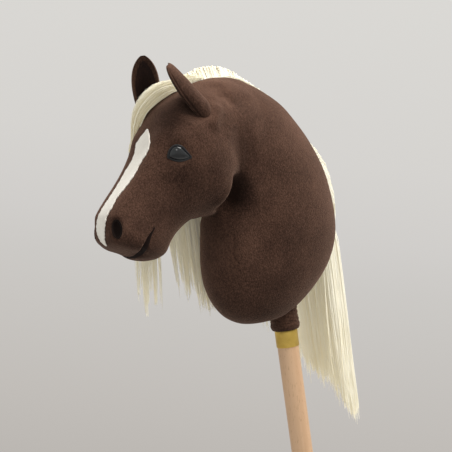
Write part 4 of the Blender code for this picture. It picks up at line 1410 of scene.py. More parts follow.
@dataclass(frozen=True)
class EarShape:
    """Where one ear stands and how its leaf is cut and rolled; angles in degrees."""

    root: tuple[float, float]
    lean_forward: float
    lean_inward: float
    facing: float
    length: float
    half_arc: float
    root_share: float
    spread: float
    cup_tip: float
    tip_powers: tuple[float, float]
    twist: float
    gather: float


@dataclass
class Ears:
    """Cupped velour ears with rolled edges and a dark lining."""

    below: float = 0.014
    cup_root: float = 105.0
    wall: float = 0.0026
    bead: float = 0.0009
    bead_share: float = 0.84
    groove: float = 0.0011
    # How far up the ear the shell and the lining go, and how much of the arc the lining covers.
    reach: float = 0.985
    lining_reach: float = 0.9
    lining_share: float = 0.8
    lining_wall: float = 0.0009
    lining_gap: float = 0.0003
    # Distance of the ears' roots from the middle plane.
    apart: float = 0.038
    rows: int = 72
    columns: int = 61
    shapes: dict[Side, EarShape] = field(default_factory=lambda: {
        Side.LEFT: EarShape(
            root=(-0.1058, 0.2448), lean_forward=27.5, lean_inward=11.7, facing=56.0, length=0.0735,
            half_arc=0.0228, root_share=0.79, spread=0.44, cup_tip=38.7, tip_powers=(1.3, 0.36), twist=-8.0,
            gather=0.42),
        Side.RIGHT: EarShape(
            root=(-0.1264, 0.2528), lean_forward=7.6, lean_inward=13.0, facing=50.0, length=0.0714,
            half_arc=0.0262, root_share=0.58, spread=0.37, cup_tip=18.7, tip_powers=(2.4, 0.7), twist=0.0,
            gather=0.35)})

    def frame_of(self, skin: Skin, side: Side) -> tuple[Array, Array, Array, Array]:
        """Root, axis, opening and width directions of one ear."""
        shape = self.shapes[side]
        x, height = shape.root
        root = np.array([x, side.value * self.apart, skin.foot + height])
        forward, inward = math.radians(shape.lean_forward), math.radians(shape.lean_inward)
        axis = unit(np.array([-math.tan(forward), -side.value * math.tan(inward), 1.0]))
        facing = math.radians(shape.facing)
        opening = np.array([-math.cos(facing), -side.value * math.sin(facing), 0.0])
        opening = unit(opening - axis * (opening @ axis))
        return root, axis, opening, np.cross(axis, opening)

    def shell(self, ear: tuple[Array, Array, Array, Array], side: Side, offset: Array | float, reach: float,
              edge: Array | float) -> Array:
        """Grid of a leaf rolled about its axis: a tube at the root that opens out towards the tip.

        The half arc is half_arc (1 - u^p)^q (root_share + spread u), the cup's half angle goes
        evenly from the root's to the tip's, and the radius is their quotient. The whole section
        turns about the axis by the twist as it rises. Near the root it is gathered towards its
        outer front edge.

        Args:
            ear: root, axis, opening and width directions.
            side: which ear.
            offset: distance inwards from the surface, the same shape as the grid or a number.
            reach: how far up the ear the grid goes, as a share of its length.
            edge: how much of the arc the grid covers, as a number or one for each row.
        Returns:
            Points of shape (rows, columns, 3).
        """
        root, axis, opening, wide = ear
        shape = self.shapes[side]
        u = np.linspace(-self.below / shape.length, reach, self.rows)[:, None]
        up = np.clip(u, 0, None)
        cup = np.radians(self.cup_root + (shape.cup_tip - self.cup_root) * up)
        power, rounding = shape.tip_powers
        arc = shape.half_arc * np.clip(1 - up**power, 1e-3, None) ** rounding
        arc *= shape.root_share + shape.spread * up
        radius = arc / cup
        turn = np.linspace(-1, 1, self.columns)[None] * cup * edge
        behind = shape.half_arc * shape.root_share / math.radians(self.cup_root)
        sideways = (radius - offset) * np.sin(turn)
        ahead = radius - (radius - offset) * np.cos(turn) - behind * (1 - up)
        gather = shape.gather * smoothstep((0.2 - u) / 0.3)
        sideways += gather * (-side.value * radius * np.sin(cup) - sideways)
        ahead += gather * (radius - radius * np.cos(cup) - behind * (1 - up) - ahead)
        twist = math.radians(shape.twist) * up
        right = sideways * np.cos(twist) - ahead * np.sin(twist)
        front = sideways * np.sin(twist) + ahead * np.cos(twist)
        return (root + (axis * shape.length)[None, None] * u[..., None]
                + right[..., None] * wide + front[..., None] * opening)

    def build(self, skin: Skin, finishes: Finishes) -> None:
        """Make both ears and their linings.

        The wall thins to nothing at the border, swells to a bead where the edge is rolled over
        its seam, and is pressed in by a groove beside the bead.
        """
        across = np.linspace(-1, 1, self.columns)[None]
        upward = np.linspace(0, 1, self.rows)[:, None]
        roll = np.sqrt(np.clip(1 - across**12, 0.03, None)) * np.sqrt(np.clip(1 - upward**18, 0.03, None))
        beside = np.abs(across) - self.bead_share
        seam = self.bead * np.exp(-(((beside - 0.1) / 0.07) ** 2))
        seam -= self.groove * np.exp(-((beside / 0.035) ** 2))
        for side in Side:
            ear = self.frame_of(skin, side)
            wall = (self.wall + seam * smoothstep((1 - upward) / 0.15)) * roll
            outer = self.shell(ear, side, -wall, self.reach, 1.0)
            inner = self.shell(ear, side, 0.0, self.reach, 1.0)
            shell = thick_sheet(f"ear_shell_{side.word}", outer, inner)
            refine(shell)
            settle(shell, finishes.velour, "head", "velour", f"ear_{side.word}")
            soft = self.lining_wall * np.sqrt(np.clip(1 - across**6, 0.05, None))
            edge = self.lining_share * np.sqrt(np.clip(1 - upward**5, 0.01, None))
            back = self.shell(ear, side, self.lining_gap, self.lining_reach, edge)
            front = self.shell(ear, side, self.lining_gap + soft, self.lining_reach, edge)
            lining = thick_sheet(f"ear_lining_soft_{side.word}", back, front)
            settle(lining, finishes.lining, "head", "lining_velour", f"ear_lining_{side.word}")


# Hair.


class DepthMap:
    """How far the skin stands out to the right at each x and height, for hair to rest on."""

    def __init__(self, points: Array, cell: float = 0.0025, axes: tuple[int, int, int] = (0, 2, 1)) -> None:
        """Keep the greatest y of the points in each cell, spread to the cells beside it.

        Args:
            points: the skin's vertices.
            cell: side of a square cell.
            axes: the two axes that lay out the map, and the one that it measures.
        """
        self.cell = cell
        flat = points[:, list(axes[:2])]
        self.low = flat.min(axis=0) - 4 * cell
        size = ((flat.max(axis=0) - self.low) / cell).astype(int) + 5
        index = ((flat - self.low) / cell).astype(int)
        depth = np.zeros(size)
        np.maximum.at(depth, (index[:, 0], index[:, 1]), points[:, axes[2]])
        # The spread falls by a millimetre for each cell.
        wider = depth.copy()
        for i in (-1, 0, 1):
            for j in (-1, 0, 1):
                wider = np.maximum(wider, np.roll(depth, (i, j), axis=(0, 1)) - 0.001 * (abs(i) + abs(j)))
        self.depth = wider

    def at(self, x: Array, z: Array) -> Array:
        """Depths by bilinear interpolation; 0 off the skin."""
        u = np.clip((x - self.low[0]) / self.cell - 0.5, 0, self.depth.shape[0] - 1.001)
        v = np.clip((z - self.low[1]) / self.cell - 0.5, 0, self.depth.shape[1] - 1.001)
        i, j = u.astype(int), v.astype(int)
        a, b = u - i, v - j
        d = self.depth
        return ((1 - a) * (1 - b) * d[i, j] + a * (1 - b) * d[i + 1, j]
                + (1 - a) * b * d[i, j + 1] + a * b * d[i + 1, j + 1])


@dataclass(frozen=True)
class Tress:
    """One sewn-on lock, by the x between which it hangs and how it parts into wisps."""

    low_x: float
    high_x: float
    spread: float
    clumps: int
    pull: float
    strands: int = 640


def strand_mesh(name: str, paths: Array, across: Array, half: float,
                rng: np.random.Generator) -> bpy.types.Object:
    """Flat fine strands along many paths, narrow at the tip, each closed by its own ends.

    A strand's section is a low diamond that lies in the lock's own surface, turned a little
    about its heading; its half width goes as half (1 - 0.75 t^2), where t is the run.

    Args:
        name: the object's name.
        paths: points of shape (strands, points, 3).
        across: the way across the lock at each point, of the same shape.
        half: the half width near the root.
        rng: the source of each strand's width, turn and shade.
    Returns:
        The object, with the attributes "strand" and "run".
    """
    strands, count = paths.shape[:2]
    ahead = unit(np.gradient(paths, axis=1))
    side = unit(across - ahead * (across * ahead).sum(axis=-1, keepdims=True))
    over = np.cross(ahead, side)
    lean = rng.normal(0, 0.2, (strands, 1, 1))
    side, over = side * np.cos(lean) + over * np.sin(lean), over * np.cos(lean) - side * np.sin(lean)
    run = np.linspace(0, 1, count)[None, :]
    broad = (half * (1 - 0.75 * run**2) * rng.uniform(0.6, 1.4, (strands, 1)))[..., None]
    ring = np.stack([side * broad, 0.25 * over * broad, -side * broad, -0.25 * over * broad], axis=2)
    points = (paths[:, :, None] + ring).reshape(-1, 3)
    quads = grid_quads(count, 4, wrap_columns=True)[None] + (4 * count * np.arange(strands))[:, None, None]
    start = 4 * count * np.arange(strands)[:, None]
    stop = start + 4 * (count - 1)
    ends = np.concatenate([start + np.array([2, 1, 0]), start + np.array([3, 2, 0]),
                           stop + np.array([0, 1, 2]), stop + np.array([0, 2, 3])])
    made = make_mesh(name, points, quads.reshape(-1, 4), ends)
    made.data.shade_flat()
    shade = np.repeat(rng.beta(2.6, 1.6, strands), 4 * count)
    for label, values in (("strand", shade), ("run", np.tile(np.repeat(run.ravel(), 4), strands))):
        attribute = made.data.attributes.new(label, "FLOAT", "POINT")
        attribute.data.foreach_set("value", values.astype(np.float32))
    return made


@dataclass
class Mane:
    """The mane: tresses along the crest that arch up, fall to the right and rest on the skin."""

    first: float = -0.03
    step: float = 0.0294
    half: float = 0.00075
    points: int = 20
    arch_steps: int = 12
    fall_steps: int = 64
    seed: int = 11
    # How far the hair stands off the crest at lengths from the poll.
    stand: tuple[tuple[float, float], ...] = (
        (-0.04, 0.005), (-0.02, 0.0095), (-0.004, 0.0125), (0.01, 0.0125), (0.028, 0.01), (0.042, 0.0076),
        (0.065, 0.0055), (0.1, 0.005), (0.15, 0.006), (0.165, 0.008), (0.18, 0.014), (0.2, 0.017),
        (0.24, 0.017))
    # Height above the neck's foot at which hair that hangs at an x ends.
    ends: tuple[tuple[float, float], ...] = (
        (-0.105, 0.072), (-0.092, 0.052), (-0.07, 0.032), (-0.055, 0.028), (-0.04, 0.02), (0.0, 0.016),
        (0.04, -0.036), (0.052, -0.05), (0.068, -0.072), (0.08, -0.105), (0.098, -0.142), (0.11, -0.138),
        (0.118, -0.115))
    tresses: tuple[Tress, ...] = (
        Tress(-0.104, -0.078, 0.09, 11, 0.62, 230), Tress(-0.093, -0.058, 0.09, 13, 0.58, 260),
        Tress(-0.074, -0.038, 0.09, 13, 0.5, 320), Tress(-0.04, -0.014, 0.09, 10, 0.62, 320),
        Tress(-0.014, 0.012, 0.09, 10, 0.62, 320), Tress(0.012, 0.04, 0.09, 10, 0.62, 340),
        Tress(0.042, 0.076, 0.08, 15, 0.45, 480), Tress(0.06, 0.101, 0.062, 17, 0.42, 560),
        Tress(0.074, 0.104, 0.055, 16, 0.42, 560))

    def crest_at(self, skin: Skin, s: Array) -> tuple[Array, Array]:
        """Places on the crest at lengths from the poll, and the directions out of the neck there."""
        run = skin.crest_run()
        place, after, before = (
            np.stack([np.interp(s + shift, run, skin.crest[:, k]) for k in range(3)], axis=-1)
            for shift in (0.0, 0.006, -0.006))
        along = unit(after - before)
        return place, np.stack([-along[:, 2], 0 * s, along[:, 0]], axis=-1)

    def fall(self, start: Array, fall_x: Array, end_z: Array, clear: Array, spread: float,
             depths: DepthMap) -> Array:
        """Hair that drops from its start and rests on what lies under it.

        x eases from the start's to fall_x over the spread, z falls evenly, and y is the
        greatest yet of the skin's depth plus the strand's own clearance.

        Args:
            start: where each strand begins to fall, of shape (n, 3).
            fall_x: where it hangs.
            end_z: where it ends.
            clear: how far it lies off the skin.
            spread: the drop over which x eases.
            depths: the skin's depths.
        Returns:
            Points of shape (n, fall_steps, 3).
        """
        share = np.linspace(0, 1, self.fall_steps)[None, :] ** 1.7
        drop = (start[:, 2] - end_z)[:, None] * share
        x = start[:, :1] + (fall_x[:, None] - start[:, :1]) * smoothstep(drop / spread)
        z = start[:, 2:3] - drop
        rest = depths.at(x, z)
        y = np.maximum.accumulate(np.where(rest > 0, rest + clear[:, None], 0.0), axis=1)
        return np.stack([x, np.maximum(y, start[:, 1:2]), z], axis=-1)

    def paths(self, number: int, tress: Tress, skin: Skin, depths: DepthMap,
              rng: np.random.Generator) -> tuple[Array, Array]:
        """Every strand's path in one tress, gathered into wisps towards the tips, and the way across it."""
        n = tress.strands
        spot = rng.uniform(-0.55, 0.55, n)
        s = self.first + self.step * (number + 0.5 + spot)
        root, out = self.crest_at(skin, s)
        table = np.array(self.stand)
        lift = 1.15 * np.interp(s, table[:, 0], table[:, 1]) + 0.0012
        lift *= 0.35 + 0.65 * rng.uniform(0, 1, n) ** 0.5
        # A share of the strands starts further to the left and covers the roots of the rest.
        cover = rng.uniform(0, 1, n) < 0.38
        across = np.where(cover, rng.uniform(-0.0054, -0.0036, n), rng.uniform(-0.0036, 0.0036, n))
        # Hair on the back of the neck sweeps down along it as it rises.
        back = smoothstep((s - 0.115) / 0.06)[:, None]
        arch = np.linspace(0, 1, self.arch_steps)[None, :]
        turn = arch * np.pi * 0.7
        down = np.stack([out[:, 2], 0 * s, -out[:, 0]], axis=-1)
        up = -0.001 + lift[:, None] * np.sin(turn)
        sweep = 1.3 * back * lift[:, None] * (1 - np.cos(turn))
        rise = root[:, None] + out[:, None] * up[..., None] + down[:, None] * sweep[..., None]
        rise[..., 1] = across[:, None] + (0.009 + 0.45 * lift[:, None]) * (1 - 0.55 * back) * arch**1.6
        rise[..., 1] -= (0.0014 * cover)[:, None] * np.sin(np.pi * arch)
        share = np.clip(spot + 0.5 + rng.normal(0, 0.2, n), -0.05, 1.05)
        fall_x = tress.low_x + (tress.high_x - tress.low_x) * share
        clump = np.empty(n, int)
        clump[np.argsort(fall_x + rng.normal(0, 0.0012, n))] = np.arange(n) * tress.clumps // n
        ends = np.array(self.ends)
        end = skin.foot + np.interp(fall_x, ends[:, 0], ends[:, 1])
        # Ends differ from wisp to wisp and from strand to strand, and a few strands are much shorter.
        end += 0.006 * rng.normal(0, 1, tress.clumps)[clump] + 0.005 * rng.normal(0, 1, n)
        end += 0.055 * rng.uniform(0, 1, n) ** 4
        clear = 0.0008 + 0.0042 * rng.uniform(0, 1, n)
        hang = self.fall(rise[:, -1], fall_x, end, clear, tress.spread, depths)
        path = evenly(np.concatenate([rise[:, :-1], hang], axis=1), self.points)
        path = self.wisps(path, rng, clump, tress.pull)
        beside = np.cross(unit(np.gradient(path, axis=1)), np.array([0.0, 1.0, 0.0]))
        return path, np.where((s > 0.145)[:, None, None], beside, down[:, None])

    def wisps(self, path: Array, rng: np.random.Generator, clump: Array, pull: float) -> Array:
        """Draw strands together towards the tips and let them wave a little.

        Args:
            path: points of shape (strands, points, 3).
            rng: the source of the waves.
            clump: the wisp that each strand belongs to.
            pull: how far the tips come together, from 0 to 1.
        Returns:
            The paths, moved in place.
        """
        n, count = path.shape[:2]
        clumps = clump.max() + 1
        run = np.linspace(0, 1, count)[None, :, None]
        total = np.bincount(clump, minlength=clumps)[:, None, None]
        middle = np.stack([np.stack([np.bincount(clump, path[:, k, c], clumps) for c in range(2)], axis=-1)
                           for k in range(count)], axis=1) / np.maximum(total, 1)
        path[..., :2] += pull * smoothstep((run - 0.3) / 0.6) * (middle[clump] - path[..., :2])
        phase, pace = rng.uniform(0, 2 * np.pi, (n, 1)), rng.uniform(0.6, 1.6, (n, 1))
        swing = np.sin(phase + 2 * np.pi * pace * run[..., 0]) * 0.001 * run[..., 0]
        wave, turns = rng.uniform(0, 2 * np.pi, clumps)[clump], rng.uniform(0.5, 1.2, clumps)[clump]
        swing += np.sin(wave[:, None] + 2 * np.pi * turns[:, None] * run[..., 0]) * 0.0016 * run[..., 0]
        path[..., 0] += swing
        path[..., 1] += np.abs(swing) * 0.7
        return path

    def build(self, skin: Skin, depths: DepthMap, finishes: Finishes) -> None:
        """Make the nine tresses."""
        rng = np.random.default_rng(self.seed)
        for number, tress in enumerate(self.tresses):
            path, across = self.paths(number, tress, skin, depths, rng)
            hair = strand_mesh(f"mane_hair_{number + 1}", path, across, self.half, rng)
            settle(hair, finishes.hair, "head", "hair", f"mane_tress_{number + 1}")
        dress(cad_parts["mane_tape"], finishes.tape)


@dataclass
class Forelock(Mane):
    """The forelock: from the poll between the ears, over the right brow and down past the chin."""

    # The bundle's middle: x, y, height, half thickness away from the head and half width along it.
    course: tuple[tuple[float, ...], ...] = (
        (-0.078, 0.0, 0.285, 0.004, 0.006), (-0.0991, 0.001, 0.288, 0.0062, 0.0075),
        (-0.1116, 0.003, 0.2816, 0.0084, 0.008), (-0.1221, 0.006, 0.2804, 0.0104, 0.0085),
        (-0.1336, 0.01, 0.2766, 0.0114, 0.009), (-0.1432, 0.016, 0.2692, 0.0108, 0.0095),
        (-0.1495, 0.023, 0.2585, 0.0092, 0.01), (-0.1512, 0.031, 0.2435, 0.007, 0.01),
        (-0.1472, 0.041, 0.2257, 0.005, 0.01), (-0.1424, 0.05, 0.2097, 0.004, 0.011),
        (-0.1372, 0.056, 0.1887, 0.0036, 0.013), (-0.1343, 0.061, 0.1597, 0.0036, 0.0155),
        (-0.1332, 0.065, 0.1249, 0.0036, 0.0185), (-0.1375, 0.066, 0.0886, 0.0036, 0.0205),
        (-0.1425, 0.066, 0.057, 0.0036, 0.02), (-0.1476, 0.065, 0.0254, 0.0032, 0.018))
    # Where the hair above is turned away from, and the height under which it hangs straight down,
    # with the drop over which it goes over to that.
    skull: Point = (-0.1, 0.0, 0.2)
    hang_level: float = 0.235
    hang_drop: float = 0.07
    strands: int = 620
    strand_steps: int = 90
    clumps: int = 9
    seed: int = 5

    def outward(self, skin: Skin, places: Array) -> Array:
        """The way out of the bundle's upper side: away from the skull above, to the right where it hangs."""
        hang = smoothstep((skin.foot + self.hang_level - places[..., 2:3]) / self.hang_drop)
        skull = skin.lifted((self.skull,))[0]
        return unit(places - skull) * (1 - hang) + np.array([0.0, 1.0, 0.0]) * hang

    def build(self, skin: Skin, depths: DepthMap, finishes: Finishes) -> None:
        """Make the forelock's strands.

        Every strand keeps its place (u, v) in the bundle's elliptical section, which a wobble
        turns a little on the way, and rests on the skin where the bundle would sink into it.
        """
        rng = np.random.default_rng(self.seed)
        heights = DepthMap(skin.surface, axes=(0, 1, 2))
        n = self.strands
        line = curve_through(np.array(self.course), 5)
        middle = line[:, :3] + np.array([0.0, 0.0, skin.foot])
        ahead = unit(np.gradient(middle, axis=0))
        outward = self.outward(skin, middle)
        thick = unit(outward - ahead * (outward * ahead).sum(axis=1, keepdims=True))
        wide = np.cross(ahead, thick)
        radius, angle = np.sqrt(rng.uniform(0, 1, n)), rng.uniform(0, 2 * np.pi, n)
        run = np.linspace(0, 1, len(line))[None]
        turn = angle[:, None] + rng.normal(0, 0.5, n)[:, None] * run
        turn += rng.normal(0, 0.1, n)[:, None] * np.sin(7 * run)
        u, v = radius[:, None] * np.cos(turn), radius[:, None] * np.sin(turn)
        path = middle[None] + (u * line[:, 3])[..., None] * thick + (v * line[:, 4])[..., None] * wide
        roof = heights.at(path[..., 0], path[..., 1])
        above = (path[..., 2] > skin.foot + 0.245) & (roof > 0)
        lifted = np.minimum(roof + 0.0006 + 0.003 * (1 + u) / 2, path[..., 2] + 0.01)
        path[..., 2] = np.where(above, np.maximum(path[..., 2], lifted), path[..., 2])
        rest = depths.at(path[..., 0], path[..., 2])
        under = (path[..., 2] < skin.foot + 0.225) & (rest > 0)
        beside = np.maximum(path[..., 1], rest + 0.0008 + 0.004 * (1 + u) / 2)
        path[..., 1] = np.where(under, beside, path[..., 1])
        clump = np.minimum(((v[:, -1] + 1) / 2 * self.clumps).astype(int), self.clumps - 1)
        stop = 1 - 0.04 * np.abs(rng.normal(0, 1, self.clumps))[clump] - 0.3 * rng.uniform(0, 1, n) ** 2
        ended = stop[:, None] * np.linspace(0, 1, self.strand_steps)[None]
        spots = (ended * (len(line) - 1)).ravel()
        index = np.minimum(spots.astype(int), len(line) - 2)
        part = (spots - index)[:, None]
        row = np.repeat(np.arange(n), self.strand_steps)
        path = (path[row, index] * (1 - part) + path[row, index + 1] * part).reshape(n, -1, 3)
        path = self.wisps(evenly(path, self.points + 4), rng, clump, 0.45)
        across = np.cross(unit(np.gradient(path, axis=1)), self.outward(skin, path))
        hair = strand_mesh("forelock_hair", path, across, 0.7 * self.half, rng)
        settle(hair, finishes.hair, "head", "hair", "forelock")


# Stick and sleeve.


@dataclass
class Stick:
    """The turned beech stick with its brass ferrule."""

    sides: int = 128
    chamfer: float = 0.0015
    edge: float = 0.0003
    gap: float = 0.0003

    def build(self, finishes: Finishes) -> None:
        """Make the stick and the ferrule round it."""
        low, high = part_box("stick")
        r, c = high.x, self.chamfer
        profile = [(r * 0.5, low.z), (r - c, low.z), (r - 0.3 * c, low.z + 0.4 * c), (r, low.z + c),
                   (r, (low.z + high.z) / 2), (r, high.z - c), (r - 0.3 * c, high.z - 0.4 * c),
                   (r - c, high.z), (r * 0.5, high.z)]
        stick = closed_loft("beech_stick", turned(profile, self.sides))
        settle(stick, finishes.beech, "stick", "beech", "stick")
        low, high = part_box("ferrule")
        outer, inner, e = high.x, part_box("stick")[1].x + self.gap, self.edge
        loop = [(inner, low.z), (outer - e, low.z), (outer - 0.3 * e, low.z + 0.3 * e), (outer, low.z + e),
                (outer, (low.z + high.z) / 2), (outer, high.z - e), (outer - e, high.z), (inner, high.z)]
        ferrule = closed_hoop("brass_ferrule", turned(loop, self.sides))
        settle(ferrule, finishes.brass, "stick", "brass", "ferrule")


@dataclass
class Sleeve:
    """The gathered velour sleeve under the neck, with its soft turned hem."""

    cloth: float = 0.0012
    folds: float = 0.0011
    sides: int = 300
    rows: int = 90

    def creases(self, angle: Array, level: Array) -> Array:
        """How far the cloth stands out, from 0 to 1: slanted wrinkles of three paces laid over each other.

        Each is |sin(n t + k z + wander)|, where t is the angle and z the height, and wander is a
        slow sine of both, so that no two wrinkles are alike.
        """
        wander = 0.9 * np.sin(2 * angle + 260 * level) + 0.6 * np.sin(3 * angle - 410 * level + 1.0)
        first = np.abs(np.sin(2.5 * angle + 520 * level + wander))
        second = np.abs(np.sin(4.0 * angle - 640 * level + 1.7 + 0.8 * wander))
        third = np.abs(np.sin(8.5 * angle + 90 * level + 0.4 * wander))
        return 0.45 * first + 0.35 * second + 0.2 * third

    def build(self, skin: Skin, finishes: Finishes) -> None:
        """Make the sleeve and hem, and dress the socket behind them.

        The wall's radius is the socket's plus the cloth, a flare that is widest over the hem, and
        the wrinkles, which fade into the hem's roll.
        """
        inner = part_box("socket_tube")[1].x + 0.0004
        foot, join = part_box("sleeve_hem")[0].z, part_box("sleeve_hem")[1].z
        angle = np.linspace(0, 2 * np.pi, self.sides, endpoint=False)[None]
        level = np.linspace(join - 0.0022, skin.foot + 0.044, self.rows)[:, None]
        above = level - join
        flare = 0.0007 * np.exp(-((above / 0.006) ** 2)) + 0.0004 * smoothstep((above - 0.01) / 0.02)
        depth = self.folds * (0.35 + 0.65 * smoothstep((above + 0.002) / 0.006))
        fold = depth * self.creases(angle, level - foot)
        radius = inner + self.cloth + flare + fold
        wall = np.stack([radius * np.cos(angle), radius * np.sin(angle), level + 0 * angle], axis=-1)
        back = turned([(inner, z) for z in level[::-1, 0]], self.sides)
        sleeve = closed_hoop("gathered_sleeve", np.concatenate([wall, back]))
        settle(sleeve, finishes.velour, "head", "velour", "neck_sleeve")
        turn = np.linspace(-np.pi / 2, 0.4 * np.pi, 22)[:, None]
        tall = (join - foot) / 2
        pinch = 1 + 0.25 * np.sin(5 * angle + 0.8) * np.sin(2 * angle)
        drop = foot + tall + tall * np.sin(turn) * (1 + 0 * angle)
        bulge = 0.0017 * np.cos(turn) ** 0.8 + 0.0003 * (1 + np.sin(turn))
        wrinkle = 0.5 * self.folds * smoothstep(1 + np.sin(turn)) * self.creases(angle, drop - foot)
        roll = inner + 0.0006 + bulge * (0.85 + 0.15 * pinch) + wrinkle
        rounded = np.stack([roll * np.cos(angle), roll * np.sin(angle), drop], axis=-1)
        lining = turned([(inner, join), (inner, foot)], self.sides)
        hem = closed_hoop("turned_hem", np.concatenate([rounded, lining]))
        settle(hem, finishes.velour, "head", "velour", "sleeve_hem")
        for node in ("socket_tube", "socket_cap"):
            dress(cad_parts[node], finishes.socket)


# Studio.


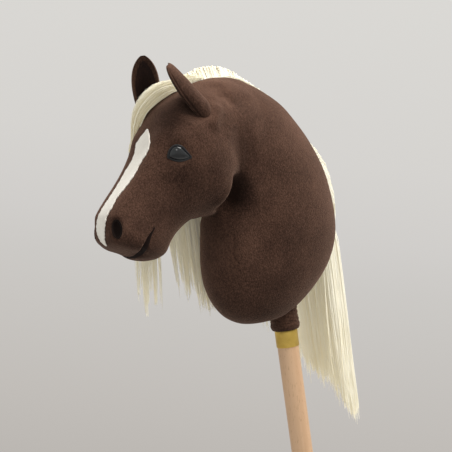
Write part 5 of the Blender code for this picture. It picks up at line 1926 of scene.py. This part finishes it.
@dataclass
class Studio:
    """Pale floor, soft light and the camera at the photograph's place."""

    focal_pixels: float = 1533.0
    frame_pixels: float = 452.0
    distance: float = 1.8
    azimuth: float = 40.0
    elevation: float = 6.0
    roll: float = 7.9
    aim: tuple[float, float] = (286.0, 331.5)
    aim_below_neck: float = 0.02
    sensor: float = 36.0
    floor_level: float = -0.0005
    floor_radii: tuple[float, ...] = (0.15, 0.4, 0.7, 1.0, 1.3, 1.6)
    floor_sides: int = 96
    world_tint: tuple[float, ...] = (0.97, 0.985, 1.0, 1.0)
    world_light: float = 0.7
    # The share of that light that comes from straight below and from straight above.
    light_below: float = 0.72
    light_above: float = 1.06
    # The way in which the backdrop gets paler, and its colour at places along it.
    slope: Point = (0.262, -0.087, 0.969)
    backdrop: tuple[tuple[float, Colour], ...] = (
        (-0.165, (0.495, 0.47, 0.442)), (-0.12, (0.535, 0.51, 0.482)), (-0.03, (0.6, 0.583, 0.56)),
        (0.0, (0.632, 0.615, 0.595)), (0.05, (0.668, 0.652, 0.628)), (0.165, (0.705, 0.692, 0.664)))

    def axes(self) -> tuple[Vector, Vector, Vector]:
        """The camera's right, up and back directions."""
        a, e, r = (math.radians(v) for v in (self.azimuth, self.elevation, self.roll))
        back = Vector((-math.sin(a) * math.cos(e), -math.cos(a) * math.cos(e), math.sin(e)))
        level = Vector((math.cos(a), -math.sin(a), 0.0))
        upright = back.cross(level)
        right = level * math.cos(r) - upright * math.sin(r)
        up = upright * math.cos(r) + level * math.sin(r)
        return right, up, back

    def camera(self, foot: float) -> None:
        """Place the camera so that the stick's axis below the neck falls on its pixel."""
        right, up, back = self.axes()
        x = (self.aim[0] - self.frame_pixels / 2) / self.focal_pixels * self.distance
        y = (self.frame_pixels / 2 - self.aim[1]) / self.focal_pixels * self.distance
        place = Vector((0.0, 0.0, foot - self.aim_below_neck)) + back * self.distance - right * x - up * y
        lens = bpy.data.cameras.new("photo_camera")
        lens.sensor_width = self.sensor
        lens.lens = self.focal_pixels / self.frame_pixels * self.sensor
        made = bpy.data.objects.new("photo_camera", lens)
        made.matrix_world = Matrix(((right.x, up.x, back.x, place.x), (right.y, up.y, back.y, place.y),
                                    (right.z, up.z, back.z, place.z), (0, 0, 0, 1)))
        bpy.context.scene.collection.objects.link(made)
        bpy.context.scene.camera = made

    def lamp(self, name: str, offset: Point, size: float, power: float, warmth: Colour, target: Point,
             mirrored: bool = True) -> None:
        """An area lamp at an offset rightward, upward and towards the camera from its target."""
        a = math.radians(self.azimuth)
        right, back = Vector((math.cos(a), -math.sin(a), 0)), Vector((-math.sin(a), -math.cos(a), 0))
        aim = Vector(target)
        place = aim + right * offset[0] + Vector((0, 0, offset[1])) + back * offset[2]
        light = bpy.data.lights.new(name, "AREA")
        light.shape, light.size, light.energy, light.color = "DISK", size, power, warmth
        made = bpy.data.objects.new(name, light)
        made.location = place
        made.rotation_euler = (aim - place).to_track_quat("-Z", "Y").to_euler()
        made.visible_glossy = mirrored
        bpy.context.scene.collection.objects.link(made)

    def world(self) -> None:
        """Even pale light all round; the camera, mirrors and glass see a backdrop that is darker below."""
        made = bpy.data.worlds.new("studio")
        made.use_nodes = True
        nodes = Nodes(made.node_tree)
        light = nodes.tree.nodes["Background"]
        nodes.feed(light.inputs["Color"], self.world_tint)
        sky = nodes.node("ShaderNodeTexCoord").outputs["Generated"]
        rise = nodes.node("ShaderNodeSeparateXYZ")
        nodes.feed(rise.inputs[0], sky)
        ends = (self.world_light * self.light_below, self.world_light * self.light_above)
        nodes.feed(light.inputs["Strength"], nodes.ranged(rise.outputs["Z"], (-1.0, 1.0), ends))
        low, high = self.backdrop[0][0], self.backdrop[-1][0]
        along = nodes.ranged(nodes.measure("DOT_PRODUCT", sky, self.slope), (low, high), (0.0, 1.0))
        seen = nodes.node("ShaderNodeBackground")
        stops = [((place - low) / (high - low), colour) for place, colour in self.backdrop]
        nodes.feed(seen.inputs["Color"], nodes.ramp(along, stops))
        path = nodes.node("ShaderNodeLightPath")
        either = path.outputs["Is Camera Ray"]
        for ray in ("Is Glossy Ray", "Is Transmission Ray"):
            either = nodes.maths("MAXIMUM", either, path.outputs[ray])
        mix = nodes.node("ShaderNodeMixShader")
        for socket, source in zip(mix.inputs, (either, light.outputs[0], seen.outputs[0])):
            nodes.feed(socket, source)
        nodes.feed(nodes.tree.nodes["World Output"].inputs[0], mix.outputs[0])
        bpy.context.scene.world = made

    def build(self, foot: float, finishes: Finishes) -> None:
        """Set the whole studio."""
        count, sides = len(self.floor_radii), self.floor_sides
        rings = turned([(radius, self.floor_level) for radius in self.floor_radii], sides)
        points = np.vstack([rings.reshape(-1, 3), [[0.0, 0.0, self.floor_level]]])
        j = np.arange(sides)
        fan = np.stack([np.full(sides, sides * count), j, (j + 1) % sides], axis=-1)
        floor = make_mesh("studio_floor", points, grid_quads(count, sides, wrap_columns=True)[:, ::-1], fan)
        dress(floor, finishes.paper)
        middle = (-0.06, 0.0, foot + 0.12)
        self.lamp("key", (-0.15, 1.7, 1.45), 0.6, 4.0, (1.0, 0.985, 0.96), middle)
        self.lamp("top", (0.8, 1.8, -0.4), 1.2, 29.0, (1.0, 0.985, 0.96), middle)
        self.lamp("side", (1.5, 1.4, 0.6), 0.6, 24.0, (1.0, 0.99, 0.975), middle, False)
        self.world()
        self.camera(foot)
        bpy.context.scene.view_settings.view_transform = "Standard"


def main() -> None:
    """Build the hobby horse piece by piece."""
    logging.basicConfig(level=logging.INFO, format="%(name)s: %(message)s")
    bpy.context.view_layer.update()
    finishes = Finishes()
    skin, eyes, nostrils, mouth = Skin(), Eyes(), Nostrils(), Mouth()
    skin.build(finishes, eyes.marks() + nostrils.marks() + mouth.marks(), nostrils.pit(), mouth.lip())
    eyes.build(skin, finishes)
    nostrils.build(skin, finishes)
    mouth.build(skin, finishes)
    Blaze().build(skin, finishes)
    Ears().build(skin, finishes)
    depths = DepthMap(skin.surface)
    Mane().build(skin, depths, finishes)
    Forelock().build(skin, depths, finishes)
    Stick().build(finishes)
    Sleeve().build(skin, finishes)
    Studio().build(skin.foot, finishes)
    log.info("done")


if __name__ == "__main__":
    main()
